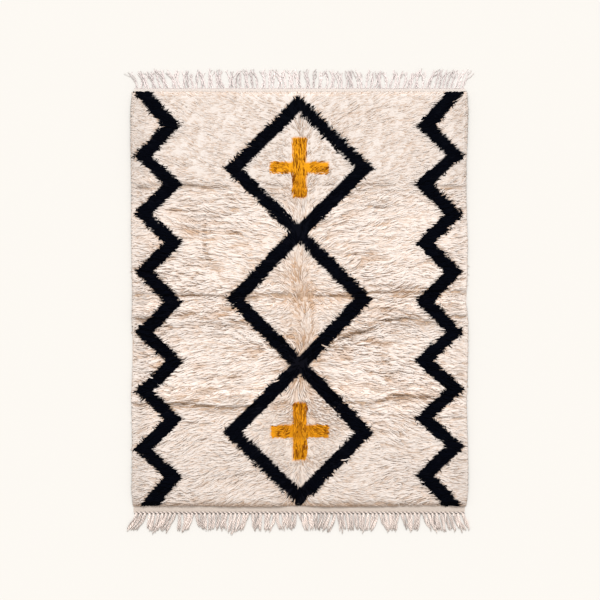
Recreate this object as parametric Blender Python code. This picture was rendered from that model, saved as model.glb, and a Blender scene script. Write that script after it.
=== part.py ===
"""Hand-knotted shag rug with diamonds and zigzags, laid flat: its body and its two fringes.

Metres, +Z up. X runs across the rug, Y along it. The origin is on the floor under the middle of the
whole rug, fringes included. The body is one cloth: a woven ground, a deep pile on it, and a narrow
flat-woven band past each end of the pile.
"""

import math
from collections import namedtuple

import bmesh
import bpy

# ---- driving dimensions, in metres ----
GROUND = 0.004           # thickness of the woven ground and of the end bands
PILE_TOP = 0.030         # floor to the top of the lying pile
RIM = 0.042              # how far in from its edge the pile reaches full height
FIELD_END = 0.981        # middle of the rug to each end of the pile
BAND_END = 1.0045        # middle of the rug to the outer edge of each end band
BAND_HALF = 0.785        # half the width of an end band
BAND_FOOT = 0.003        # strip of band in front of the foot of the pile
GAP = 0.0003             # clearance between the body and a fringe

HEADER = 0.005           # depth of the twined cord that binds the warp ends off
FRINGE_THICK = 0.004     # a tassel lying on the floor
TASSEL_ROOT = 0.009      # width of a tassel where it leaves the cord
TASSEL_BELLY = 0.012     # width where it has opened out
TASSEL_TIP = 0.005       # width at its end
BELLY_AT = 0.55          # share of a tassel's length where it is widest

COLUMN_STEP = 0.054      # spacing of the body's faces across the rug
ROW_STEP = 0.050         # and along it
RIM_STEPS = (0.0, 0.06, 0.22, 0.52, 1.0)  # shares of RIM where the rounded edge has a face edge
CREASE_ROWS = 0.030      # a face edge runs this far to each side of a crease

# Uneven sides of the pile, from the lower end to the upper one.
Side = namedtuple("Side", "y left right")
SIDES = (
    Side(-0.981, -0.793, 0.790),
    Side(-0.900, -0.801, 0.802),
    Side(-0.755, -0.798, 0.802),
    Side(-0.613, -0.798, 0.798),
    Side(-0.471, -0.802, 0.794),
    Side(-0.340, -0.796, 0.799),
    Side(-0.190, -0.793, 0.802),
    Side(-0.092, -0.801, 0.801),
    Side(0.002, -0.797, 0.790),
    Side(0.097, -0.798, 0.797),
    Side(0.286, -0.802, 0.799),
    Side(0.476, -0.802, 0.793),
    Side(0.618, -0.803, 0.793),
    Side(0.760, -0.806, 0.798),
    Side(0.902, -0.806, 0.802),
    Side(0.981, -0.796, 0.796),
)

# Troughs that storage folds left across the pile. A trough runs from one X to another and tilts by rise.
Crease = namedtuple("Crease", "y start end rise depth half_width")
CREASES = (
    Crease(0.520, -0.790, 0.790, 0.000, 0.005, 0.034),
    Crease(0.016, -0.790, 0.790, 0.000, 0.009, 0.030),
    Crease(-0.100, -0.580, -0.340, 0.020, 0.006, 0.026),
    Crease(-0.105, 0.230, 0.640, -0.130, 0.005, 0.028),
    Crease(-0.470, -0.790, 0.790, 0.000, 0.007, 0.036),
)

# Partings along the rug, where it was folded lengthwise.
Parting = namedtuple("Parting", "x start end depth half_width")
PARTINGS = (
    Parting(0.000, -0.900, 0.900, 0.005, 0.030),
    Parting(-0.450, 0.140, 0.360, 0.003, 0.030),
    Parting(0.400, -0.700, 0.700, 0.002, 0.030),
)
FADE = 0.060             # length over which a crease dies out at its ends
SWELL = 0.0015           # height of the pile's slow unevenness

# How many tassels a fringe has, and how far they reach and lean.
Fringe = namedtuple("Fringe", "name side tassels length length_swing outer_lean lean_swing waves phase")
FRINGES = (
    Fringe("fringe_top", 1, 82, 0.080, 0.0045, 0.036, 0.009, 5.0, 0.6),
    Fringe("fringe_bottom", -1, 77, 0.080, 0.0045, 0.028, 0.006, 6.0, 2.1),
)

Finish = namedtuple("Finish", "name color roughness")
PILE_WOOL = Finish("pile_wool", (0.83, 0.73, 0.64, 1.0), 0.95)
WARP_YARN = Finish("warp_yarn", (0.74, 0.66, 0.60, 1.0), 0.9)


def clear_scene():
    """Removes every object of the scene that the script starts in."""
    for obj in list(bpy.data.objects):
        bpy.data.objects.remove(obj, do_unlink=True)


def material(finish):
    """A plain wool material of this finish."""
    made = bpy.data.materials.new(finish.name)
    made.use_nodes = True
    shader = made.node_tree.nodes["Principled BSDF"]
    shader.inputs["Base Color"].default_value = finish.color
    shader.inputs["Roughness"].default_value = finish.roughness
    shader.inputs["Metallic"].default_value = 0.0
    made.diffuse_color = finish.color
    return made


def smoothstep(low, high, value):
    """0 below low, 1 above high, and a smooth rise between."""
    share = min(max((value - low) / (high - low), 0.0), 1.0)
    return share * share * (3.0 - 2.0 * share)


def quarter_round(share):
    """Height of a rounded edge, 0 to 1, at this share of the way in from it."""
    inward = min(max(share, 0.0), 1.0)
    return math.sqrt(1.0 - (1.0 - inward) ** 2)


def sides_at(y):
    """The pile's left and right edge at this Y, in straight runs between the table's rows."""
    for low, high in zip(SIDES, SIDES[1:]):
        if y <= high.y:
            share = max((y - low.y) / (high.y - low.y), 0.0)
            left = low.left + (high.left - low.left) * share
            return left, low.right + (high.right - low.right) * share
    return SIDES[-1].left, SIDES[-1].right


def crease_depth(x, y):
    """How far the folds press the pile's top down at this place."""
    depth = 0.0
    for crease in CREASES:
        middle = crease.y + crease.rise * (x - crease.start) / (crease.end - crease.start)
        run = smoothstep(crease.start, crease.start + FADE, x)
        run *= 1.0 - smoothstep(crease.end - FADE, crease.end, x)
        depth += crease.depth * run * math.exp(-(((y - middle) / crease.half_width) ** 2))
    for parting in PARTINGS:
        run = smoothstep(parting.start, parting.start + FADE, y)
        run *= 1.0 - smoothstep(parting.end - FADE, parting.end, y)
        depth += parting.depth * run * math.exp(-(((x - parting.x) / parting.half_width) ** 2))
    return depth


def pile_height(x, y):
    """Height of the rug's top at this place of the field."""
    left, right = sides_at(y)
    rise = quarter_round(min(x - left, right - x) / RIM) * quarter_round((FIELD_END - abs(y)) / RIM)
    swell = SWELL * math.sin(5.1 * x + 1.3) * math.sin(4.3 * y + 0.4)
    return GROUND + rise * (PILE_TOP - GROUND - SWELL + swell - crease_depth(x, y))


def even_steps(start, end, step):
    """Evenly spaced values from start to end, both included, about a step apart."""
    count = max(round((end - start) / step), 1)
    return [start + (end - start) * i / count for i in range(count + 1)]


def field_rows():
    """The Y of each row of face edges on the field, closer at its ends and beside each crease."""
    ends = [FIELD_END - RIM * share for share in RIM_STEPS]
    kept = {value * sign for value in ends for sign in (-1.0, 1.0)}
    for crease in CREASES:
        middle = crease.y + crease.rise / 2
        kept |= {middle - CREASE_ROWS, middle, middle + CREASE_ROWS}
    inner = FIELD_END - RIM
    for row in even_steps(-inner, inner, ROW_STEP):
        if all(abs(row - other) > ROW_STEP / 2 for other in kept):
            kept.add(row)
    return sorted(kept)


def body_columns():
    """Each column of face edges as (share of the field's width, distance in from its nearer side)."""
    rims = [RIM * share for share in RIM_STEPS]
    inner = even_steps(-BAND_HALF + RIM, BAND_HALF - RIM, COLUMN_STEP)[1:-1]
    left = [(0.0, rim) for rim in rims]
    middle = [((x + BAND_HALF) / (2 * BAND_HALF), 0.0) for x in inner]
    return left + middle + [(1.0, -rim) for rim in reversed(rims)]


def body_grid():
    """Rows of (x, y, z) over the whole body, from the lower band to the upper one."""
    columns = body_columns()
    grid = []
    for y in (-BAND_END, -FIELD_END - BAND_FOOT):
        grid.append([(-BAND_HALF + 2 * BAND_HALF * share + rim, y, GROUND) for share, rim in columns])
    for y in field_rows():
        left, right = sides_at(y)
        xs = [left + (right - left) * share + rim for share, rim in columns]
        grid.append([(x, y, pile_height(x, y)) for x in xs])
    for y in (FIELD_END + BAND_FOOT, BAND_END):
        grid.append([(-BAND_HALF + 2 * BAND_HALF * share + rim, y, GROUND) for share, rim in columns])
    return grid


def close_downwards(mesh, floor):
    """Gives an open sheet whose faces point up a flat underside at this height and a wall round its edge."""
    tops = set(mesh.faces)
    copied = bmesh.ops.duplicate(mesh, geom=mesh.faces[:])["geom"]
    under = [item for item in copied if isinstance(item, bmesh.types.BMFace)]
    for corner in {vert for face in under for vert in face.verts}:
        corner.co.z = floor
    bmesh.ops.reverse_faces(mesh, faces=under)
    partner = {}
    rim = [edge for edge in mesh.edges if edge.is_boundary]
    for corner in {vert for edge in rim for vert in edge.verts}:
        key = (round(corner.co.x, 6), round(corner.co.y, 6))
        partner.setdefault(key, []).append(corner)
    for edge in rim:
        loop = edge.link_loops[0]
        if loop.face not in tops:
            continue
        start, end = loop.vert, loop.link_loop_next.vert
        low_start, low_end = (lowest(partner, corner) for corner in (start, end))
        mesh.faces.new((end, start, low_start, low_end))


def lowest(partner, corner):
    """The corner of the underside that lies straight below this one."""
    return min(partner[(round(corner.co.x, 6), round(corner.co.y, 6))], key=lambda vert: vert.co.z)


def finished(mesh, name, finish):
    """Turns a closed mesh into this node's object, smooth but for its sharp edges."""
    mesh.normal_update()
    bmesh.ops.triangulate(mesh, faces=mesh.faces[:])
    data = bpy.data.meshes.new(name)
    mesh.to_mesh(data)
    mesh.free()
    data.shade_smooth()
    data.set_sharp_from_angle(angle=math.radians(35.0))
    data.materials.append(material(finish))
    made = bpy.data.objects.new(name, data)
    bpy.context.scene.collection.objects.link(made)
    return made


def make_body():
    """The one cloth: ground, pile and end bands."""
    mesh = bmesh.new()
    grid = [[mesh.verts.new(place) for place in row] for row in body_grid()]
    for low, high in zip(grid, grid[1:]):
        for i in range(len(low) - 1):
            mesh.faces.new((low[i], low[i + 1], high[i + 1], high[i]))
    mesh.normal_update()
    close_downwards(mesh, 0.0)
    return finished(mesh, "rug_body", PILE_WOOL)


def tassel_sections(fringe, index):
    """The (middle x, y, width) of one tassel at its root, its belly and its tip."""
    pitch = 2 * BAND_HALF / fringe.tassels
    root_x = -BAND_HALF + pitch * (index + 0.5)
    across = root_x / BAND_HALF
    turn = 2 * math.pi * fringe.waves * across / 2 + fringe.phase
    lean = fringe.outer_lean * across ** 3 + fringe.lean_swing * math.sin(turn)
    length = fringe.length + fringe.length_swing * math.sin(2.6 * turn + 1.0)
    start = BAND_END + GAP + HEADER
    return (
        (root_x, start, TASSEL_ROOT),
        (root_x + lean * BELLY_AT ** 1.5, start + length * BELLY_AT, TASSEL_BELLY),
        (root_x + lean, start + length, TASSEL_TIP),
    )


def make_fringe(fringe):
    """One comb: the twined cord as its back, a tassel for each tooth."""
    mesh = bmesh.new()
    back = []
    front = []

    def corner(x, y):
        return mesh.verts.new((x, fringe.side * y, FRINGE_THICK))

    def face(*corners):
        mesh.faces.new(corners if fringe.side > 0 else corners[::-1])

    inner, outer = BAND_END + GAP, BAND_END + GAP + HEADER
    back.append(corner(-BAND_HALF, inner))
    front.append(corner(-BAND_HALF, outer))
    for index in range(fringe.tassels):
        sections = tassel_sections(fringe, index)
        x, _, width = sections[0]
        back += [corner(x - width / 2, inner), corner(x + width / 2, inner)]
        left, right = corner(x - width / 2, outer), corner(x + width / 2, outer)
        front += [left, right]
        for x, y, width in sections[1:]:
            next_left, next_right = corner(x - width / 2, y), corner(x + width / 2, y)
            face(left, right, next_right, next_left)
            left, right = next_left, next_right
    back.append(corner(BAND_HALF, inner))
    front.append(corner(BAND_HALF, outer))
    for i in range(len(back) - 1):
        face(back[i], back[i + 1], front[i + 1], front[i])
    mesh.normal_update()
    close_downwards(mesh, 0.0)
    return finished(mesh, fringe.name, WARP_YARN)


def main():
    clear_scene()
    make_body()
    for fringe in FRINGES:
        make_fringe(fringe)


main()
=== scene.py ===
"""Looks of a hand-knotted shag rug: its woven ground, its wool pile and its two tasselled fringes.

Metres, +Z up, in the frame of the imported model: X runs across the rug, Y along it, and the floor is at
Z 0. The rug lies flat. Its locks lean outwards from the middle, as they fell when it was unfolded.
"""

from __future__ import annotations

import logging
import math
from dataclasses import dataclass
from enum import Enum
from typing import NamedTuple

import bpy
import numpy as np
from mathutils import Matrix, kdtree


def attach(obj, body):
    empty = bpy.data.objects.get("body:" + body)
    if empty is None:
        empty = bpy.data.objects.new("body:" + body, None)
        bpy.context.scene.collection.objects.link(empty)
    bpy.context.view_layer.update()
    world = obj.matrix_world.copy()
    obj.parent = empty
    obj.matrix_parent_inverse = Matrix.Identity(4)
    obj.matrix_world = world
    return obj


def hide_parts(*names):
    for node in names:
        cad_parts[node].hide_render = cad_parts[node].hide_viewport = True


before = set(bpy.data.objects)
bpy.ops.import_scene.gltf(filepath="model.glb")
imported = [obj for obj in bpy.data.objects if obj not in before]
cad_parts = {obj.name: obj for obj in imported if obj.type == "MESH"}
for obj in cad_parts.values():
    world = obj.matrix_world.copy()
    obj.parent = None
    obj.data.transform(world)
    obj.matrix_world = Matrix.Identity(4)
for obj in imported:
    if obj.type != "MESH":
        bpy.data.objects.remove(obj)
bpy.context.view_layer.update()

log = logging.getLogger("rug")
Array = np.ndarray
Color = tuple[float, float, float]
TAU = 2.0 * math.pi
TINY = 1e-6
BODY = "root"
# The Mix node's sockets for colours, which share their names with its other ones.
MIX_FACTOR, MIX_FIRST, MIX_SECOND, MIX_RESULT = 0, 6, 7, 2


# ---------------------------------------------------------------- shader maths


@dataclass(frozen=True)
class Signal:
    """A shader socket that takes part in Python arithmetic; each operation adds one Math node."""

    bench: NodeBench
    socket: bpy.types.NodeSocket

    def _math(self, operation: str, first: Signal | float, second: Signal | float = 0.0) -> Signal:
        """Returns the result of one Math node."""
        return self.bench.signal("ShaderNodeMath", {"operation": operation}, {0: first, 1: second})

    def __add__(self, other: Signal | float) -> Signal:
        """Adds."""
        return self._math("ADD", self, other)

    def __radd__(self, other: float) -> Signal:
        """Adds, reflected."""
        return self._math("ADD", other, self)

    def __mul__(self, other: Signal | float) -> Signal:
        """Multiplies."""
        return self._math("MULTIPLY", self, other)

    def sine(self) -> Signal:
        """Returns its sine."""
        return self._math("SINE", self)

    def magnitude(self) -> Signal:
        """Returns its absolute value."""
        return self._math("ABSOLUTE", self)

    def around_one(self, amount: float) -> Signal:
        """Turns 0 to 1 into a factor that reaches this far to each side of 1."""
        return 1.0 - amount + self * (2.0 * amount)


class NodeBench:
    """Builds one node material around a Principled shader."""

    def __init__(self, name: str, roughness: float, specular: float) -> None:
        """Starts a material.

        Args:
            name: The material's name.
            roughness: Roughness all over it.
            specular: Specular level all over it.
        """
        self.material = bpy.data.materials.new(name)
        self.material.use_nodes = True
        self.tree = self.material.node_tree
        self.tree.nodes.clear()
        self.shader = self.node("ShaderNodeBsdfPrincipled")
        self.shader.inputs["Roughness"].default_value = roughness
        self.shader.inputs["Specular IOR Level"].default_value = specular
        output = self.node("ShaderNodeOutputMaterial")
        self.tree.links.new(self.shader.outputs["BSDF"], output.inputs["Surface"])

    def node(self, kind: str, settings: dict | None = None, inputs: dict | None = None) -> bpy.types.Node:
        """Adds a node.

        Args:
            kind: The node's type.
            settings: Properties of the node, set before its sockets; stops gives a ramp's stops.
            inputs: Values or signals for its sockets, by number or name.

        Returns:
            The new node.
        """
        made = self.tree.nodes.new(kind)
        for key, value in (settings or {}).items():
            if key == "stops":
                self._set_stops(made, value)
            else:
                setattr(made, key, value)
        for key, value in (inputs or {}).items():
            self.feed(made.inputs[key], value)
        return made

    def signal(self, kind: str, settings: dict | None = None, inputs: dict | None = None,
               output: int | str = 0) -> Signal:
        """Adds a node and returns one of its outputs as a signal."""
        return Signal(self, self.node(kind, settings, inputs).outputs[output])

    def feed(self, socket: bpy.types.NodeSocket, value: object) -> None:
        """Links a signal to a socket, or sets the socket to a plain value.

        Args:
            socket: The socket.
            value: The signal, or the value.
        """
        if isinstance(value, Signal):
            self.tree.links.new(value.socket, socket)
        else:
            socket.default_value = value

    def mix(self, factor: Signal | float, first: object, second: object, blend: str = "MIX") -> Signal:
        """Mixes two colours, the second one showing as far as the factor says."""
        inputs = {MIX_FACTOR: factor, MIX_FIRST: first, MIX_SECOND: second}
        return self.signal("ShaderNodeMix", {"data_type": "RGBA", "blend_type": blend}, inputs, MIX_RESULT)

    def attribute(self, name: str, output: str = "Fac") -> Signal:
        """Reads one of the piece's own attributes."""
        return self.signal("ShaderNodeAttribute", {"attribute_name": name}, output=output)

    def place(self) -> Signal:
        """Reads the piece's Object coordinates."""
        return self.signal("ShaderNodeTexCoord", output="Object")

    def parts(self, vector: Signal) -> tuple[Signal, Signal]:
        """Splits a vector into its X and its Y."""
        split = self.node("ShaderNodeSeparateXYZ", None, {0: vector})
        return Signal(self, split.outputs[0]), Signal(self, split.outputs[1])

    def strand_place(self) -> tuple[Signal, Signal]:
        """Reads the strand UV map: the place round a strand and the place along it."""
        return self.parts(self.signal("ShaderNodeUVMap", {"uv_map": "strand"}))

    def noise(self, place: Signal, scale: float, detail: float = 3.0, dimensions: str = "3D") -> Signal:
        """Returns fractal noise, 0 to 1, read at this place."""
        inputs = {"Vector": place, "Scale": scale, "Detail": detail}
        return self.signal("ShaderNodeTexNoise", {"noise_dimensions": dimensions}, inputs)

    def strand_noise(self, around: Signal, along: Signal, detail: float) -> Signal:
        """Returns noise, 0 to 1, that follows the surface of a strand."""
        place = self.signal("ShaderNodeCombineXYZ", None, {0: around, 1: along})
        return self.noise(place, 1.0, detail, "2D")

    def paint(self, color: Signal, shade: Signal) -> None:
        """Feeds the shader's colour, made lighter or darker by a shade."""
        grey = self.signal("ShaderNodeCombineColor", None, {0: shade, 1: shade, 2: shade})
        self.feed(self.shader.inputs["Base Color"], self.mix(1.0, color, grey, "MULTIPLY"))

    def bump(self, height: Signal, distance: float) -> None:
        """Feeds the shader's normal from a height, of which 1 stands for this distance in metres."""
        inputs = {"Height": height, "Distance": distance, "Strength": 1.0}
        self.feed(self.shader.inputs["Normal"], self.signal("ShaderNodeBump", None, inputs))

    @staticmethod
    def _set_stops(ramp: bpy.types.Node, stops: tuple) -> None:
        """Gives a colour ramp its stops.

        Args:
            ramp: The ramp, which starts with two stops.
            stops: A (position, colour) for each stop, two or more.
        """
        elements = ramp.color_ramp.elements
        while len(elements) < len(stops):
            elements.new(1.0)
        for element, (position, color) in zip(elements, stops):
            element.position = position
            element.color = color


def rgba(color: Color) -> tuple[float, float, float, float]:
    """Adds a full alpha to a colour."""
    return (*color, 1.0)


# ---------------------------------------------------------------- finishes


@dataclass(frozen=True)
class WoolFinish:
    """Loosely spun pile wool: deeper in colour at the root and in partings, partly the roots' own colour
    and partly painted shade low in the pile, streaked along its fibres.
    """

    name: str
    tip: Color
    root: Color
    roughness: float = 0.95
    specular: float = 0.10
    root_reach: float = 0.60
    streak_tint: float = 0.07
    streak_height: float = 0.0006
    streaks_round: float = 9.0
    streaks_along: float = 1.6
    streak_detail: float = 2.0

    def make(self) -> bpy.types.Material:
        """Builds the material; it reads the piece's strand UV map and its tone and warmth attributes, both
        of which also carry painted light and shade.

        Returns:
            The material.
        """
        bench = NodeBench(self.name, self.roughness, self.specular)
        around, along = bench.strand_place()
        across = around * self.streaks_round
        fibre = bench.strand_noise(across, along * self.streaks_along, self.streak_detail)
        # The root end of the ramp is partly painted shade low in the lock.
        stops = ((0.0, rgba(self.root)), (self.root_reach, rgba(self.tip)))
        wool = bench.signal("ShaderNodeValToRGB", {"stops": stops}, {0: along})
        # More root colour where the warmth attribute says: roots, and painted shade in creases, hollows and
        # on flanks.
        wool = bench.mix(bench.attribute("warmth"), wool, rgba(self.root))
        # The tone attribute carries the painted light and shade of the pile's lie.
        bench.paint(wool, bench.attribute("tone") * fibre.around_one(self.streak_tint))
        bench.bump(fibre, self.streak_height)
        return bench.material


@dataclass(frozen=True)
class UnderwoolFinish:
    """The matted lower part of the pile, seen between the locks."""

    name: str
    roughness: float = 1.0
    specular: float = 0.05
    fluff_scale: float = 180.0
    fluff_tint: float = 0.10
    fluff_height: float = 0.0020

    def make(self) -> bpy.types.Material:
        """Builds the material; it reads the piece's dye attribute and Object coordinates.

        Returns:
            The material.
        """
        bench = NodeBench(self.name, self.roughness, self.specular)
        fluff = bench.noise(bench.place(), self.fluff_scale)
        bench.paint(bench.attribute("dye", "Color"), fluff.around_one(self.fluff_tint))
        bench.bump(fluff, self.fluff_height)
        return bench.material


@dataclass(frozen=True)
class WeaveFinish:
    """Plain woven wool ground: close ribs of weft over hidden warps."""

    name: str
    rib_pitch: float = 0.0036
    warp_pitch: float = 0.0052
    rib_bend: float = 0.9
    warp_depth: float = 0.55
    weave_tint: float = 0.18
    fluff_scale: float = 260.0
    fluff_tint: float = 0.08
    fluff_share: float = 0.35
    deepest_tint: float = 0.80
    rib_height: float = 0.0008
    roughness: float = 0.95
    specular: float = 0.10

    def make(self) -> bpy.types.Material:
        """Builds the material; it reads the piece's dye attribute and Object coordinates.

        Returns:
            The material.
        """
        bench = NodeBench(self.name, self.roughness, self.specular)
        place = bench.place()
        across, lengthwise = bench.parts(place)
        bend = (across * (TAU / self.warp_pitch)).sine() * self.rib_bend
        ribs = (lengthwise * (TAU / self.rib_pitch) + bend).sine()
        warps = (across * (math.pi / self.warp_pitch)).sine().magnitude()
        weave = (ribs * 0.5 + 0.5) * (warps * self.warp_depth + (1.0 - self.warp_depth))
        fluff = bench.noise(place, self.fluff_scale)
        shade = weave * self.weave_tint + self.deepest_tint + fluff * self.fluff_tint
        bench.paint(bench.attribute("dye", "Color"), shade)
        bench.bump(weave + fluff * self.fluff_share, self.rib_height)
        return bench.material


@dataclass(frozen=True)
class YarnFinish:
    """Plied warp yarn: two plies wound round each other, darker between them as painted shade."""

    name: str
    color: Color
    groove_painted_shade: Color
    plies: float = 2.0
    ply_height: float = 0.0010
    fuzz_round: float = 7.0
    fuzz_along: float = 5.0
    fuzz_detail: float = 3.0
    fuzz_tint: float = 0.12
    fuzz_share: float = 0.4
    roughness: float = 0.92
    specular: float = 0.15

    def make(self) -> bpy.types.Material:
        """Builds the material; it reads the piece's strand UV map and its tone attribute, which also
        carries painted light and shade.

        Returns:
            The material.
        """
        bench = NodeBench(self.name, self.roughness, self.specular)
        around, along = bench.strand_place()
        plies = ((around * self.plies + along) * TAU).sine() * 0.5 + 0.5
        fuzz = bench.strand_noise(around * self.fuzz_round, along * self.fuzz_along, self.fuzz_detail)
        # The colour between the plies is painted shade.
        yarn = bench.mix(plies, rgba(self.groove_painted_shade), rgba(self.color))
        bench.paint(yarn, bench.attribute("tone") * fuzz.around_one(self.fuzz_tint))
        bench.bump(plies + fuzz * self.fuzz_share, self.ply_height)
        return bench.material


@dataclass(frozen=True)
class PaperFinish:
    """Smooth pale studio floor, faintly mottled."""

    name: str
    color: Color
    mottle: float = 0.995
    mottle_scale: float = 3.0
    mottle_detail: float = 2.0

    def make(self) -> bpy.types.Material:
        """Builds the material; it reads Object coordinates.

        Returns:
            The material.
        """
        bench = NodeBench(self.name, 1.0, 0.0)
        mottle = bench.noise(bench.place(), self.mottle_scale, self.mottle_detail)
        darker = tuple(self.mottle * channel for channel in self.color)
        paper = bench.mix(mottle, rgba(self.color), rgba(darker))
        bench.feed(bench.shader.inputs["Base Color"], paper)
        return bench.material


class Dye(Enum):
    """The three wools of the pile."""

    CREAM = 0
    DARK = 1
    MUSTARD = 2


# The root colours are partly the wool's own and partly painted shade low in the pile.
WOOLS = {
    Dye.CREAM: WoolFinish("cream_wool", tip=(0.850, 0.775, 0.728), root=(0.590, 0.398, 0.268)),
    Dye.DARK: WoolFinish("dark_wool", tip=(0.0014, 0.0020, 0.0048), root=(0.0008, 0.0009, 0.002),
                         roughness=1.0, specular=0.03),
    Dye.MUSTARD: WoolFinish("mustard_wool", tip=(0.930, 0.400, 0.013), root=(0.30, 0.085, 0.002),
                            root_reach=0.72, streak_tint=0.16),
}
# The wool's colour near the ground, one row for each Dye.
UNDER_TINTS = np.array([
    (0.60, 0.435, 0.315, 1.0),
    (0.004, 0.004, 0.007, 1.0),
    (0.34, 0.10, 0.003, 1.0),
])
UPPER_BAND_TINT = (0.85, 0.77, 0.715, 1.0)
# The lower band is the same weave as the upper one, darkened as painted shadow of the pile's lower end.
LOWER_BAND_PAINTED_SHADOW = (0.65, 0.56, 0.495, 1.0)
UNDERWOOL = UnderwoolFinish("matted_wool")
WEAVE = WeaveFinish("ground_weave")
# One warp yarn at both ends; the lower copy is darker, and its colour between the plies carries deeper
# painted shade.
UPPER_YARN = YarnFinish("warp_yarn_top", color=(0.975, 0.89, 0.875), groove_painted_shade=(0.77, 0.67, 0.655))
LOWER_YARN = YarnFinish("warp_yarn_bottom", color=(0.93, 0.835, 0.785), groove_painted_shade=(0.47, 0.375, 0.33))
FLOOR_PAPER = PaperFinish("studio_paper", color=(0.715, 0.700, 0.675))


# ---------------------------------------------------------------- unevenness and design


def fade(low: float, high: float, value: Array) -> Array:
    """Returns 0 below low, 1 above high, and a smooth rise between."""
    share = np.clip((value - low) / (high - low), 0.0, 1.0)
    return share * share * (3.0 - 2.0 * share)


def bell(value: Array, spread: float) -> Array:
    """Returns 1 where the value is 0, fading to 0 past the spread to each side."""
    return np.exp(-(value / spread) ** 2)


def lows(noise: Array, slope: float, threshold: float, most: float = 1.0) -> Array:
    """Returns how deep each place lies in the lows of a noise, 0 to most."""
    return np.clip(-slope * noise - threshold, 0.0, most)


class Ramp(NamedTuple):
    """An effect that changes between two distances."""

    amount: float
    low: float
    high: float

    def rise(self, value: Array) -> Array:
        """Returns nothing below low, and the whole effect above high."""
        return self.amount * fade(self.low, self.high, value)

    def fall(self, value: Array) -> Array:
        """Returns the whole effect below low, and nothing above high."""
        return self.amount * (1.0 - fade(self.low, self.high, value))


@dataclass(frozen=True)
class Unevenness:
    """Smooth seeded noise over the rug's plane, about -1 to 1 times its size.

    It is read from a lattice of random values that reaches this far to each side of the middle. Places
    beyond its last cells are read that margin inside them.
    """

    seed: int
    cell_x: float
    cell_y: float
    size: float = 1.0
    reach: float = 1.3
    margin: float = 0.001

    def at(self, x: Array, y: Array) -> Array:
        """Reads the noise.

        Args:
            x: Metres across the rug.
            y: Metres along it.

        Returns:
            One value for each place.
        """
        columns = math.ceil(2.0 * self.reach / self.cell_x) + 2
        rows = math.ceil(2.0 * self.reach / self.cell_y) + 2
        lattice = np.random.default_rng(self.seed).uniform(-1.0, 1.0, (columns, rows))
        column, share_x = self._cell_of(x, self.cell_x, columns)
        row, share_y = self._cell_of(y, self.cell_y, rows)
        low = lattice[column, row] * (1 - share_x) + lattice[column + 1, row] * share_x
        high = lattice[column, row + 1] * (1 - share_x) + lattice[column + 1, row + 1] * share_x
        return self.size * (low * (1 - share_y) + high * share_y)

    def _cell_of(self, value: Array, cell: float, count: int) -> tuple[Array, Array]:
        """Finds the lattice cell of each value.

        Args:
            value: Metres across or along the rug.
            cell: The cells' size that way.
            count: How many there are.

        Returns:
            The cell's number, and the smooth share of the way through it.
        """
        place = np.clip((value + self.reach) / cell, 0.0, count - 1.0 - self.margin)
        number = place.astype(int)
        return number, fade(0.0, 1.0, place - number)


class Corner(NamedTuple):
    """One turn of the two zigzags: where the middle of each stroke lies."""

    left_y: float
    left_x: float
    right_y: float
    right_x: float


class Tip(NamedTuple):
    """One height of the diamond chain: the middle of its left and its right stroke."""

    y: float
    left_x: float
    right_x: float


class Plus(NamedTuple):
    """One plus sign: its middle, and half the sizes of its upright and its arms."""

    x: float
    y: float
    upright_half: float
    upright_reach: float
    arm_half: float
    arm_reach: float

    def upright(self, x: Array, y: Array) -> Array:
        """Tells which places lie in its upright."""
        return (np.abs(x - self.x) < self.upright_half) & (np.abs(y - self.y) < self.upright_reach)

    def arms(self, x: Array, y: Array) -> Array:
        """Tells which places lie in its arms."""
        return (np.abs(x - self.x) < self.arm_reach) & (np.abs(y - self.y) < self.arm_half)


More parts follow.
